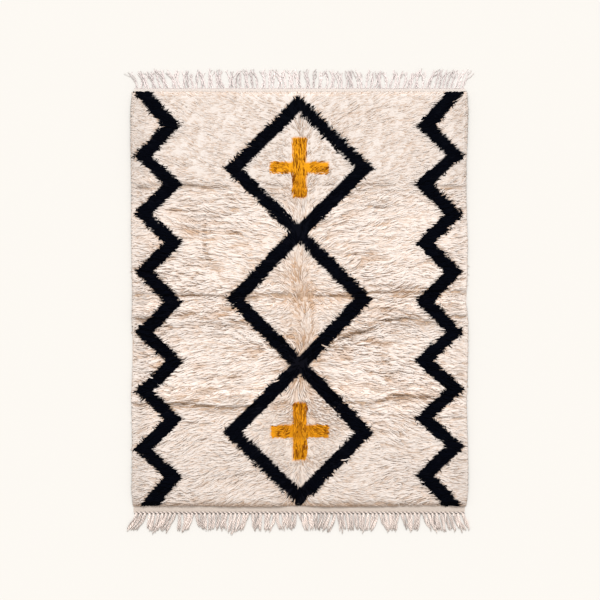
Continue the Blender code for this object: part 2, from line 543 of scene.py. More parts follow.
@dataclass(frozen=True)
class Design:
    """The knotted design: zigzags along the sides, a chain of three diamonds, and two plus signs."""

    zigzag_half: float = 0.0447
    diamond_half: float = 0.0448
    corners: tuple[Corner, ...] = (
        Corner(-1.000, -0.740, -1.000, 0.752),
        Corner(-0.837, -0.599, -0.827, 0.597),
        Corner(-0.705, -0.743, -0.691, 0.740),
        Corner(-0.562, -0.597, -0.559, 0.589),
        Corner(-0.430, -0.738, -0.421, 0.740),
        Corner(-0.290, -0.592, -0.284, 0.589),
        Corner(-0.151, -0.738, -0.150, 0.736),
        Corner(-0.010, -0.597, -0.003, 0.596),
        Corner(0.140, -0.736, 0.134, 0.730),
        Corner(0.276, -0.595, 0.274, 0.598),
        Corner(0.409, -0.744, 0.407, 0.734),
        Corner(0.553, -0.600, 0.551, 0.590),
        Corner(0.684, -0.745, 0.688, 0.737),
        Corner(0.826, -0.608, 0.825, 0.600),
        Corner(1.000, -0.757, 1.000, 0.752),
    )
    tips: tuple[Tip, ...] = (
        Tip(-0.937, -0.001, -0.001),
        Tip(-0.623, -0.3195, 0.309),
        Tip(-0.306, 0.001, 0.001),
        Tip(0.006, -0.307, 0.305),
        Tip(0.320, -0.004, -0.004),
        Tip(0.625, -0.316, 0.310),
        Tip(0.931, -0.002, -0.002),
    )
    pluses: tuple[Plus, ...] = (
        Plus(-0.001, 0.629, 0.0375, 0.143, 0.031, 0.141),
        Plus(0.003, -0.620, 0.0350, 0.1375, 0.0305, 0.1385),
    )
    seam_lines: Unevenness = Unevenness(81, 0.0062, 0.040)
    seam_waver: Unevenness = Unevenness(82, 0.03, 0.03, 0.004)
    seam_specks: Unevenness = Unevenness(83, 0.0062, 0.0062)
    seam_slope: float = 1.9
    seam_threshold: float = 0.18

    def dye_at(self, x: Array, y: Array) -> Array:
        """Finds the wool of the design.

        Args:
            x: Metres across the rug.
            y: Metres along it.

        Returns:
            The value of a Dye for each place.
        """
        paths = (
            ([(c.left_y, c.left_x) for c in self.corners], self.zigzag_half),
            ([(c.right_y, c.right_x) for c in self.corners], self.zigzag_half),
            ([(t.y, t.left_x) for t in self.tips], self.diamond_half),
            ([(t.y, t.right_x) for t in self.tips], self.diamond_half),
        )
        dark = np.zeros_like(x, dtype=bool)
        for path, half in paths:
            dark |= self._near_path(x, y, path, half)
        for end in (self.tips[0], self.tips[-1]):
            dark |= np.abs(x - end.left_x) + np.abs(y - end.y) < self.diamond_half
        found = np.where(dark, Dye.DARK.value, Dye.CREAM.value)
        for plus in self.pluses:
            found[plus.upright(x, y) | plus.arms(x, y)] = Dye.MUSTARD.value
        return found

    def combed(self, x: Array, y: Array, heading: Array) -> Array:
        """Turns the tufts in the uprights of the plus signs straight along the rug.

        Args:
            x: Metres across the rug.
            y: Metres along it.
            heading: The heading that each tuft would have.

        Returns:
            The heading of each tuft.
        """
        for plus in self.pluses:
            heading = np.where(plus.upright(x, y), math.copysign(0.5 * math.pi, plus.y), heading)
        return heading

    def seams(self, x: Array, y: Array) -> Array:
        """Works out where the tufts part: in lines in the uprights, else in specks.

        Args:
            x: Metres across the rug.
            y: Metres along it.

        Returns:
            How deep they part, 0 to 1.
        """
        lines = self.seam_lines.at(x + self.seam_waver.at(x, y), y)
        upright = np.zeros_like(x, dtype=bool)
        for plus in self.pluses:
            upright |= plus.upright(x, y)
        noise = np.where(upright, lines, self.seam_specks.at(x, y))
        return lows(noise, self.seam_slope, self.seam_threshold)

    @staticmethod
    def _near_path(x: Array, y: Array, path: list[tuple[float, float]], half: float) -> Array:
        """Tells which places lie near a path.

        Args:
            x: Metres across the rug.
            y: Metres along it.
            path: The (y, x) of its corners, from the lower end up.
            half: Half a stroke, measured across the rug.

        Returns:
            True or False for each place.
        """
        heights, middles = zip(*path)
        inside = (y > heights[0]) & (y < heights[-1])
        return inside & (np.abs(x - np.interp(y, heights, middles)) < half)


# ---------------------------------------------------------------- how the pile lies


class Side(NamedTuple):
    """Where the pile's two sides end at one place along the rug."""

    y: float
    left: float
    right: float


class Fold(NamedTuple):
    """A fold line in the pile: how far it is pressed down (a ridge where less than 0), and where it runs.

    Each place of the path is (how far along the fold, how far to its side): X then Y for a crease across
    the rug, and Y then X for a parting along it.
    """

    depth: float
    half_width: float
    path: tuple[tuple[float, float], ...]


class Belt(NamedTuple):
    """An effect on one height of the rug: how strong it is, its middle, and how far it reaches."""

    amount: float
    middle: float
    spread: float

    def at(self, y: Array) -> Array:
        """Returns the effect at each place along the rug."""
        return self.amount * bell(y - self.middle, self.spread)


class Heart(NamedTuple):
    """An effect in the middle diamond: how strong it is, and how far it reaches across and along."""

    amount: float
    wide: float
    long: float
    middle_y: float = 0.03

    def at(self, x: Array, y: Array) -> Array:
        """Returns the effect at each place."""
        return self.amount * np.exp(-(x / self.wide) ** 2 - ((y - self.middle_y) / self.long) ** 2)


def total(noises: tuple[Unevenness, ...], x: Array, y: Array) -> Array:
    """Adds up several noises at each place."""
    return sum(noise.at(x, y) for noise in noises)


@dataclass(frozen=True)
class Lie:
    """The shape of the pile: its outline, height, folds and ridges, and the way its locks lean.

    The pile falls outwards to both sides of a middle column, in which the locks lie lengthwise. Its
    ruffle is how uneven it is at a place, and its warmth how much of the darker root colour shows there:
    partly the roots themselves, partly painted shade in creases, hollows and towards the lower end.
    """

    # outline and height
    ground_top: float = 0.004
    pile_top: float = 0.0262
    highest: float = 0.0285
    flattening: float = 0.65
    foot: float = 0.0035
    side_rim: float = 0.026
    end_rim: float = 0.027
    lower_end: float = -0.9755
    upper_end: float = 0.991
    left_tuck: float = 0.0024
    end_wander: Unevenness = Unevenness(71, 0.130, 0.5, 0.0035)
    upper_wander: float = 0.3
    # middle column
    column_half: float = 0.050
    column_pull: float = 0.85
    column_turn: float = -0.306
    column_turn_length: float = 0.02
    column_wander: Unevenness = Unevenness(15, 2.0, 0.080, 0.020)
    column_swerve: Belt = Belt(0.032, -0.14, 0.09)
    column_strands: Unevenness = Unevenness(33, 0.0078, 0.075)
    column_ridges: Unevenness = Unevenness(34, 0.022, 0.14, 0.8)
    # folds
    crease_wander: Unevenness = Unevenness(39, 0.050, 0.050, 0.0040)
    crease_width: float = 0.64
    fold_fade: float = 0.060
    fold_fade_share: float = 0.4
    fold_margin: float = 2.5
    deepest: float = 0.0110
    line_spread: float = 1.7
    line_height: float = 1.7
    lit_shift: float = 0.8
    fold_lines: Unevenness = Unevenness(35, 0.120, 0.0082)
    line_waver: Unevenness = Unevenness(36, 0.050, 0.040, 0.005)
    # ruffle, patches, ridges and swells
    ruffle_rows: tuple[float, ...] = (-1.00, -0.68, -0.50, -0.10, 0.05, 0.25, 0.50, 0.64, 1.00)
    ruffle_levels: tuple[float, ...] = (0.90, 0.93, 1.20, 1.15, 1.25, 1.00, 0.85, 0.47, 0.46)
    ruffle_change: Unevenness = Unevenness(61, 0.16, 0.12, 0.35)
    patch_noises: tuple[Unevenness, ...] = (
        Unevenness(62, 0.090, 0.034), Unevenness(63, 0.036, 0.013, 0.8))
    patch_threshold: float = 0.15
    patch_depth: float = 0.0020
    side_ridges: tuple[Unevenness, ...] = (
        Unevenness(31, 0.11, 0.0088, 0.85), Unevenness(32, 0.14, 0.019, 0.7))
    ridge_bends: tuple[Unevenness, ...] = (
        Unevenness(37, 0.065, 0.055, 0.011), Unevenness(38, 0.24, 0.18, 0.045))
    ridge_height: float = 0.0030
    ridge_calm: float = 0.6
    swells: tuple[Unevenness, ...] = (
        Unevenness(21, 0.150, 0.050, 0.0030), Unevenness(22, 0.070, 0.028, 0.0022))
    swell_power: float = 2.2
    # warmth: root colour that shows, partly the roots and partly painted shade in creases, hollows, seams
    # and at the lower end
    heart_warmth: Heart = Heart(0.32, 0.075, 0.22)
    crease_warmth: float = 0.15
    crease_line_warmth: float = 1.10
    end_painted_warm_shade: Ramp = Ramp(0.45, 0.0, 0.03)
    seam_slope: float = 1.3
    seam_threshold: float = 0.25
    seam_warmth: float = 0.5
    hollow_from: float = 0.0252
    hollow_span: float = 0.0080
    hollow_roots_and_shade: float = 0.35
    patch_warmth: float = 0.35
    parted_slope: float = 0.8
    parted_level: float = 0.78
    parted_most: float = 1.5
    lower_cooling: Ramp = Ramp(0.6, 0.42, 0.60)
    side_cooling: Ramp = Ramp(0.6, 0.03, 0.17)
    # painted light and shade; the upper part is also darker and the middle diamond lighter
    side_painted_shade: Ramp = Ramp(0.098, 0.030, 0.090)
    right_painted_shade_easing: float = 0.020
    rim_painted_highlight: Ramp = Ramp(0.03, 0.000, 0.006)
    end_painted_shade: Ramp = Ramp(0.17, 0.000, 0.046)
    end_lip_painted_highlight: Ramp = Ramp(0.14, 0.000, 0.016)
    upper_painted_highlight: Ramp = Ramp(0.13, 0.004, 0.018)
    upper_dulling: Ramp = Ramp(0.13, 0.35, 0.62)
    lower_painted_shade: Ramp = Ramp(0.132, 0.45, 0.80)
    fold_painted_shade: Belt = Belt(0.055, -0.128, 0.05)
    heart_light: Heart = Heart(0.03, 0.070, 0.14)
    crest_painted_highlight: float = 0.25
    crease_painted_shade: float = 0.30
    crease_line_from: float = 0.05
    crease_line_slope: float = 1.3
    # lean and waves
    along_pull: float = 0.42
    pull_loss: Ramp = Ramp(0.6, 0.50, 0.72)
    fold_pull_loss: float = 0.6
    turning: Unevenness = Unevenness(12, 0.16, 0.11)
    turning_size: float = 0.24
    lower_turning: Ramp = Ramp(0.16, 0.50, 0.72)
    small_turning: Unevenness = Unevenness(13, 0.070, 0.050, 0.20)
    tousle: Heart = Heart(0.75, 0.16, 0.30)
    tousling: Unevenness = Unevenness(14, 0.050, 0.060)
    waves: tuple[Unevenness, ...] = (
        Unevenness(41, 0.034, 0.045, 0.0045), Unevenness(42, 0.017, 0.03, 0.0022))
    still_rim: float = 0.03
    sides: tuple[Side, ...] = (
        Side(-0.981, -0.793, 0.790),
        Side(-0.900, -0.801, 0.802),
        Side(-0.755, -0.798, 0.802),
        Side(-0.613, -0.798, 0.798),
        Side(-0.471, -0.802, 0.794),
        Side(-0.340, -0.796, 0.799),
        Side(-0.190, -0.793, 0.802),
        Side(-0.092, -0.801, 0.801),
        Side(0.002, -0.797, 0.790),
        Side(0.097, -0.798, 0.797),
        Side(0.286, -0.802, 0.799),
        Side(0.476, -0.802, 0.793),
        Side(0.618, -0.803, 0.793),
        Side(0.760, -0.806, 0.798),
        Side(0.902, -0.806, 0.802),
        Side(0.981, -0.796, 0.796),
    )
    creases: tuple[Fold, ...] = (
        Fold(-0.004, 0.018, ((-0.81, 0.564), (-0.66, 0.566))),
        Fold(0.008, 0.012, ((-0.81, 0.528), (-0.64, 0.540))),
        Fold(0.010, 0.011, (
            (-0.61, 0.528), (-0.50, 0.540), (-0.42, 0.526), (-0.36, 0.530), (-0.30, 0.540))),
        Fold(-0.005, 0.016, ((-0.62, 0.496), (-0.28, 0.490))),
        Fold(0.006, 0.007, ((-0.66, 0.432), (-0.56, 0.422), (-0.46, 0.425))),
        Fold(0.009, 0.009, ((-0.35, 0.433), (-0.27, 0.433))),
        Fold(0.009, 0.010, ((-0.43, 0.392), (-0.35, 0.388))),
        Fold(0.005, 0.008, ((-0.37, 0.316), (-0.26, 0.326))),
        Fold(0.005, 0.008, ((-0.25, 0.305), (-0.11, 0.300))),
        Fold(0.007, 0.012, ((-0.20, 0.532), (-0.05, 0.542))),
        Fold(0.006, 0.012, ((0.05, 0.535), (0.20, 0.545))),
        Fold(0.009, 0.009, ((0.25, 0.540), (0.33, 0.548), (0.38, 0.534), (0.46, 0.541))),
        Fold(0.006, 0.008, ((0.25, 0.516), (0.36, 0.526), (0.47, 0.505))),
        Fold(-0.007, 0.013, ((0.16, 0.474), (0.30, 0.481), (0.43, 0.486))),
        Fold(0.011, 0.010, ((0.28, 0.455), (0.36, 0.440), (0.44, 0.434))),
        Fold(0.006, 0.012, ((0.62, 0.540), (0.81, 0.532))),
        Fold(0.005, 0.007, ((0.20, 0.235), (0.27, 0.215), (0.36, 0.210))),
        Fold(0.005, 0.007, ((-0.67, 0.108), (-0.56, 0.112), (-0.43, 0.126))),
        Fold(0.005, 0.006, ((-0.81, 0.052), (-0.60, 0.047))),
        Fold(0.006, 0.007, ((0.29, 0.070), (0.45, 0.064), (0.64, 0.054))),
        Fold(0.0085, 0.015, (
            (-0.83, 0.030), (-0.64, 0.022), (-0.57, 0.030), (-0.45, 0.024), (-0.35, 0.013),
            (-0.24, 0.015), (-0.10, 0.027), (0.00, 0.022), (0.12, 0.024), (0.24, 0.020),
            (0.31, 0.042), (0.40, 0.036), (0.60, 0.032), (0.67, 0.040), (0.83, 0.038))),
        Fold(0.006, 0.006, ((-0.81, 0.004), (-0.62, -0.002), (-0.36, 0.004))),
        Fold(-0.008, 0.020, ((-0.83, -0.061), (-0.64, -0.043))),
        Fold(-0.005, 0.018, ((-0.60, -0.033), (-0.34, -0.043))),
        Fold(-0.006, 0.018, ((-0.26, -0.025), (-0.05, -0.039))),
        Fold(-0.007, 0.018, ((0.05, -0.043), (0.28, -0.025))),
        Fold(-0.007, 0.018, ((0.34, -0.031), (0.60, -0.043))),
        Fold(-0.009, 0.020, ((0.61, -0.023), (0.83, -0.037))),
        Fold(0.011, 0.012, ((-0.83, -0.088), (-0.66, -0.084))),
        Fold(0.009, 0.010, (
            (-0.68, -0.106), (-0.60, -0.078), (-0.51, -0.064), (-0.45, -0.100), (-0.38, -0.118),
            (-0.33, -0.156))),
        Fold(0.010, 0.012, ((-0.36, -0.086), (-0.22, -0.120))),
        Fold(0.008, 0.009, ((-0.66, -0.112), (-0.57, -0.156))),
        Fold(0.012, 0.011, ((0.37, -0.040), (0.46, -0.043))),
        Fold(0.012, 0.019, ((0.36, -0.108), (0.46, -0.088), (0.57, -0.092), (0.66, -0.122))),
        Fold(0.009, 0.012, ((0.66, -0.066), (0.83, -0.082))),
        Fold(-0.009, 0.020, ((0.10, -0.213), (0.24, -0.141), (0.38, -0.105))),
        Fold(0.011, 0.011, ((0.11, -0.222), (0.215, -0.173), (0.277, -0.154), (0.39, -0.112))),
        Fold(0.004, 0.006, ((-0.50, -0.203), (-0.10, -0.212))),
        Fold(0.004, 0.006, ((-0.47, -0.232), (-0.12, -0.238))),
        Fold(0.010, 0.011, ((-0.36, -0.370), (-0.25, -0.358))),
        Fold(0.006, 0.009, ((-0.47, -0.346), (-0.38, -0.354))),
        Fold(0.005, 0.010, ((-0.22, -0.345), (-0.12, -0.338))),
        Fold(-0.009, 0.024, ((-0.72, -0.448), (-0.50, -0.460), (-0.35, -0.456), (-0.14, -0.448))),
        Fold(0.012, 0.021, (
            (-0.66, -0.500), (-0.52, -0.492), (-0.46, -0.507), (-0.30, -0.510), (-0.18, -0.502))),
        Fold(0.007, 0.014, ((-0.83, -0.488), (-0.70, -0.496))),
        Fold(0.005, 0.014, ((-0.16, -0.502), (-0.01, -0.490))),
        Fold(0.009, 0.010, ((-0.48, -0.527), (-0.40, -0.531))),
        Fold(0.006, 0.008, ((-0.58, -0.570), (-0.46, -0.590), (-0.37, -0.578))),
        Fold(0.006, 0.010, ((-0.50, -0.664), (-0.41, -0.662))),
        Fold(0.008, 0.018, ((-0.40, -0.655), (-0.30, -0.695))),
        Fold(-0.007, 0.020, ((0.13, -0.421), (0.30, -0.443), (0.42, -0.438), (0.72, -0.430))),
        Fold(0.010, 0.013, (
            (0.18, -0.474), (0.33, -0.490), (0.40, -0.480), (0.45, -0.453), (0.66, -0.463))),
        Fold(0.004, 0.010, ((0.34, -0.476), (0.43, -0.478))),
        Fold(-0.006, 0.016, ((0.38, -0.519), (0.62, -0.513))),
        Fold(0.009, 0.009, ((0.44, -0.557), (0.57, -0.563))),
        Fold(0.007, 0.012, ((0.70, -0.452), (0.83, -0.460))),
        Fold(-0.007, 0.018, ((0.64, -0.515), (0.83, -0.511))),
        Fold(0.009, 0.010, ((0.62, -0.552), (0.83, -0.560))),
        Fold(0.006, 0.012, ((0.30, -0.636), (0.40, -0.655))),
        Fold(0.005, 0.009, ((0.40, -0.693), (0.50, -0.702))),
    )
    partings: tuple[Fold, ...] = (
        Fold(0.0025, 0.026, ((-0.93, 0.000), (0.93, 0.000))),
        Fold(0.0100, 0.010, (
            (0.130, -0.408), (0.215, -0.443), (0.272, -0.452), (0.343, -0.443), (0.430, -0.454))),
        Fold(0.0060, 0.009, ((-0.400, 0.486), (-0.320, 0.425), (-0.200, 0.345))),
        Fold(0.0050, 0.009, ((-0.390, 0.428), (-0.290, 0.362))),
        Fold(0.0060, 0.009, ((-0.670, 0.510), (-0.580, 0.452))),
        Fold(0.0015, 0.018, ((-0.70, 0.400), (0.70, 0.400))),
    )

    def side_room(self, x: Array, y: Array) -> Array:
        """Measures the room to the nearer side of the pile.

        Args:
            x: Metres across the rug.
            y: Metres along it.

        Returns:
            How far each place lies inside it.
        """
        rows, lefts, rights = zip(*self.sides)
        left = self.left_tuck + np.interp(y, rows, lefts)
        return np.minimum(x - left, np.interp(y, rows, rights) - x)

    def end_room(self, x: Array, y: Array) -> Array:
        """Returns how far each place lies inside the nearer end of the pile, which wanders a little."""
        wander = self.end_wander.at(x, np.zeros_like(x))
        return np.minimum(y - self.lower_end - wander, self.upper_end + self.upper_wander * wander - y)

    def room(self, x: Array, y: Array) -> Array:
        """Returns how far each place lies inside the nearest edge of the pile."""
        return np.minimum(self.side_room(x, y), self.end_room(x, y))

    def folds(self, x: Array, y: Array) -> tuple[Array, Array]:
        """Works out the fold lines.

        Args:
            x: Metres across the rug.
            y: Metres along it.

        Returns:
            How far the pile is pressed down at each place, and how near it is to a crease, 0 to 1, or to
            a ridge, 0 to -1.
        """
        depth, nearest = np.zeros_like(x), np.zeros_like(x)
        wander = self.crease_wander.at(x, y)
        for run, aside, folds in ((x, y, self.creases), (y, x, self.partings)):
            for fold in folds:
                along, middle = zip(*fold.path)
                is_ridge = fold.depth < 0.0
                half_width = fold.half_width * (1.0 if is_ridge else self.crease_width)
                spread = self.line_spread * half_width
                margin = self.fold_margin * spread
                here = (run > along[0]) & (run < along[-1])
                here &= (aside > min(middle) - margin) & (aside < max(middle) + margin)
                away = aside[here] + wander[here] - np.interp(run[here], along, middle)
                fading = min(self.fold_fade, self.fold_fade_share * (along[-1] - along[0]))
                share = fade(along[0], along[0] + fading, run[here])
                share = share * (1.0 - fade(along[-1] - fading, along[-1], run[here]))
                depth[here] += fold.depth * share * bell(away, half_width)
                shift = self.lit_shift * half_width if is_ridge else 0.0
                near = share * bell(away - shift, spread) * fold.depth / self.deepest
                bolder = np.abs(near) > np.abs(nearest[here])
                nearest[here] = np.where(bolder, near, nearest[here])
        return depth, np.clip(nearest, -1.0, 1.0)

    def ruffle(self, x: Array, y: Array) -> Array:
        """Returns how ruffled the pile is at each place, about 0.5 near the upper end to 1.2."""
        level = np.interp(y, self.ruffle_rows, self.ruffle_levels)
        return level * (1.0 + self.ruffle_change.at(x, y))

    def patches(self, x: Array, y: Array) -> Array:
        """Returns how far the locks part and show their roots in short ragged patches."""
        parting = np.clip(total(self.patch_noises, x, y) - self.patch_threshold, 0.0, 1.0)
        return parting * self.ruffle(x, y)

    def lines(self, x: Array, y: Array) -> Array:
        """Returns the long lines that locks form beside each other in a fold, about -1 to 1."""
        return self.fold_lines.at(x, y + self.line_waver.at(x, y))

    def warmth(self, x: Array, y: Array) -> Array:
        """Works out how much of the warm, darker root colour shows: partly the roots themselves, in the
        middle diamond, patches and partings, partly painted shade in creases, hollows, between the middle
        column's strands and towards the lower end.

        Args:
            x: Metres across the rug.
            y: Metres along it.

        Returns:
            The share of it at each place, which may pass 1.
        """
        depth, near = self.folds(x, y)
        lines = self.lines(x, y)
        folded = np.clip(near * (self.crease_warmth - self.crease_line_warmth * lines), 0.0, 1.0)
        strands = self.column_strands.at(x, y)
        seams = lows(strands, self.seam_slope, self.seam_threshold, self.seam_warmth)
        hollow = (self.hollow_from - depth - self._top(x, y)) / self.hollow_span
        parted = np.clip(hollow, 0.0, self.hollow_roots_and_shade) + self.patch_warmth * self.patches(x, y)
        parted = parted * (1.0 - np.clip(-near, 0.0, 1.0))
        parted = parted * lows(lines, self.parted_slope, -self.parted_level, self.parted_most)
        parted = parted * (1.0 - self.lower_cooling.rise(-y))
        parted = parted * (1.0 - self.side_cooling.fall(self.side_room(x, y)))
        end = self.end_painted_warm_shade.fall(y - self.lower_end)
        return folded + parted + self.heart_warmth.at(x, y) + end + self._upright_share(x, y) * seams

    def shade(self, x: Array, y: Array) -> Array:
        """Works out the light and shade that are painted into the wool's tone.

        Painted shade falls down the sides (less on the right), along the lower end, in a belt below the
        middle fold, towards the lower part and along crease lines; painted highlight lies along the side
        rims, on the lower end's lip, along the upper end and on the lit side of ridges. The wool is also
        darker towards its upper part and a little lighter in the middle diamond.

        Args:
            x: Metres across the rug.
            y: Metres along it.

        Returns:
            A factor for each place, about 1.
        """
        _, near = self.folds(x, y)
        side_room = self.side_room(x, y)
        # Painted shade down the sides, less on the right, and painted highlight on the rims; painted shade
        # at the lower end, painted highlight on its lip and along the upper end.
        brighter = 1.0 - self.right_painted_shade_easing / self.side_painted_shade.amount * x
        side = 1.0 - self.side_painted_shade.fall(side_room) * brighter + self.rim_painted_highlight.fall(side_room)
        from_end = y - self.lower_end
        end = 1.0 - self.end_painted_shade.fall(from_end) + self.end_lip_painted_highlight.fall(from_end)
        upper = 1.0 + self.upper_painted_highlight.fall(self.upper_end - y)
        # Painted highlight on the lit side of ridges, painted shade along crease lines.
        crest = self.crest_painted_highlight * np.clip(-near, 0.0, 1.0)
        creased = near * (-self.crease_line_from - self.crease_line_slope * self.lines(x, y))
        crest = crest - self.crease_painted_shade * np.clip(creased, 0.0, 1.0)
        # Painted shade towards the lower part and in a belt below the middle fold; the upper part darker,
        # the middle diamond a little lighter.
        along = 1.0 - self.upper_dulling.rise(y) - self.lower_painted_shade.rise(-y)
        along = along + self.heart_light.at(x, y) - self.fold_painted_shade.at(y)
        return side * end * upper * (along + crest)

    def height(self, x: Array, y: Array) -> Array:
        """Works out the height of the pile's top, rounded off towards its edges.

        Args:
            x: Metres across the rug.
            y: Metres along it.

        Returns:
            The height at each place.
        """
        rise = self._rounded(self.side_room(x, y) / self.side_rim)
        rise = rise * self._rounded(self.end_room(x, y) / self.end_rim)
        return self.foot + (self._top(x, y) - self.foot) * rise

    def _top(self, x: Array, y: Array) -> Array:
        """Works out the height of the pile's top away from its edges, folds and ridges included.

        Args:
            x: Metres across the rug.
            y: Metres along it.

        Returns:
            The height at each place.
        """
        depth, near = self.folds(x, y)
        depth = depth + self.patch_depth * self.patches(x, y)
        ruffle = self.ruffle(x, y)
        upright = self._upright_share(x, y)
        bent = y - self.along_pull * y * np.abs(x) + total(self.ridge_bends, x, y)
        sideways = total(self.side_ridges, x, bent)
        lengthwise = total((self.column_strands, self.column_ridges), x, y)
        ridge = (sideways * (1.0 - upright) + lengthwise * upright) * ruffle
        ridge = ridge * (1.0 - self.ridge_calm * np.clip(-near, 0.0, 1.0))
        ridge = ridge + self.line_height * np.abs(near) * self.lines(x, y)
        swell = total(self.swells, x, y) * ruffle ** self.swell_power
        top = self.pile_top - depth + swell + self.ridge_height * ridge
        return top - self.flattening * np.clip(top - self.highest, 0.0, None)

    def lean(self, x: Array, y: Array) -> Array:
        """Works out which way the locks lean.

        Args:
            x: Metres across the rug, of each lock's root.
            y: Metres along it.

        Returns:
            The heading of each lock, in radians from +X.
        """
        _, near = self.folds(x, y)
        upright = self._upright_share(x, y)
        aside = self._aside(x, y)
        outwards = np.where(aside < 0.0, -1.0, 1.0) * (1.0 - upright) + aside / self.column_half * upright
        pull = self.along_pull * y * (1.0 - self.pull_loss.rise(-y))
        turning = (self.turning_size + self.lower_turning.rise(-y)) * self.turning.at(x, y)
        along = pull * (1.0 - self.fold_pull_loss * np.abs(near)) + turning
        away = np.tanh((y - self.column_turn) / self.column_turn_length)
        heading = np.arctan2(along + self.column_pull * upright * away, outwards)
        return heading + self.small_turning.at(x, y) + self.tousle.at(x, y) * self.tousling.at(x, y)

    def waved(self, x: Array, y: Array) -> tuple[Array, Array]:
        """Moves places aside by the waves that neighbouring locks share.

        Args:
            x: Metres across the rug.
            y: Metres along it.

        Returns:
            The new X and Y of each place.
        """
        upright = self._upright_share(x, y)
        wave = total(self.waves, x, y) * fade(0.0, self.still_rim, self.room(x, y))
        return x + wave * upright, y + wave * (1.0 - upright)

    @staticmethod
    def _rounded(share: Array) -> Array:
        """Returns the height of a quarter-round edge, 0 to 1, at this share of the way in from it."""
        return np.sqrt(1.0 - (1.0 - np.clip(share, 0.0, 1.0)) ** 2)

    def _aside(self, x: Array, y: Array) -> Array:
        """Returns how far each place lies to the right of the middle column, which wanders a little."""
        return x - self.column_swerve.at(y) - self.column_wander.at(np.zeros_like(x), y)

    def _upright_share(self, x: Array, y: Array) -> Array:
        """Returns 1 in the middle column, where locks lean lengthwise, and 0 beside it."""
        return bell(self._aside(x, y), self.column_half)


# ---------------------------------------------------------------- meshes of many copies


def start_clean() -> None:
    """Deselects everything, so that the next operator acts on its own piece alone."""
    if bpy.context.object and bpy.context.object.mode != "OBJECT":
        bpy.ops.object.mode_set(mode="OBJECT")
    bpy.ops.object.select_all(action="DESELECT")


@dataclass
class Template:
    """The mesh of one strand that is copied many times: across, up and along (0 to 1) for each point.

    The faces of its underside are listed as flat, so that only its top is shaded as round.
    """

    points: Array
    loops: Array
    sizes: Array
    uv: Array
    flat: Array

    def axes(self) -> tuple[Array, Array, Array]:
        """Returns across, up and along, each as one row of points."""
        return tuple(self.points[None, :, axis] for axis in range(3))


@dataclass(frozen=True)
class StrandShape:
    """A strand, modelled once: a small polygon extruded along Z through rings of other widths.

    Each ring is (share of the way along, width). Faces whose normal points down past faces_down make up
    its underside.
    """

    name: str
    sides: int
    flatness: float
    rings: tuple[tuple[float, float], ...]
    pointed: bool = True
    flat_under: bool = True
    faces_down: float = -0.5

    def model(self) -> Template:
        """Models the strand by extrusion, reads it, and removes the model.

        Returns:
            Its template.
        """
        start_clean()
        bpy.ops.mesh.primitive_circle_add(vertices=self.sides, radius=0.5, fill_type="NGON")
        made = bpy.context.object
        made.name = self.name
        bpy.ops.object.mode_set(mode="EDIT")
        bpy.ops.mesh.select_all(action="SELECT")
        width = self.rings[0][1]
        bpy.ops.transform.resize(value=(width, width * self.flatness, 1.0), center_override=(0, 0, 0))
        height = 0.0
        for share, next_width in self.rings[1:]:
            bpy.ops.mesh.extrude_region_move(TRANSFORM_OT_translate={"value": (0.0, 0.0, share - height)})
            grow = next_width / width
            bpy.ops.transform.resize(value=(grow, grow, 1.0), center_override=(0, 0, share))
            height, width = share, next_width
        if self.pointed:
            bpy.ops.mesh.extrude_region_move(TRANSFORM_OT_translate={"value": (0.0, 0.0, 1.0 - height)})
            bpy.ops.mesh.merge(type="CENTER")
        bpy.ops.mesh.select_all(action="SELECT")
        bpy.ops.mesh.normals_make_consistent(inside=False)
        bpy.ops.object.mode_set(mode="OBJECT")
        template = self._read(made.data)
        bpy.data.objects.remove(made, do_unlink=True)
        return template

    def _read(self, mesh: bpy.types.Mesh) -> Template:
        """Reads the model, with a strand UV that runs round it and along it.

        Args:
            mesh: The model's mesh.

        Returns:
            Its points and faces.
        """
        points = np.array([vertex.co for vertex in mesh.vertices])
        loops, sizes, uv, flat = [], [], [], []
        for polygon in mesh.polygons:
            flat.append(self.flat_under and polygon.normal.y < self.faces_down)
            corners = list(polygon.vertices)
            off_axis = np.hypot(points[corners, 0], points[corners, 1]) > TINY
            turns = np.arctan2(points[corners, 1], points[corners, 0]) / TAU % 1.0
            ring = turns[off_axis]
            if len(ring) < self.sides and np.ptp(ring) > 0.5:
                turns = np.where(turns < 0.5, turns + 1.0, turns)
            turns = np.where(off_axis, turns, turns[off_axis].mean())
            uv += zip(turns, points[corners, 2])
            loops += corners
            sizes.append(len(corners))
        return Template(points, np.array(loops), np.array(sizes), np.array(uv), np.array(flat))


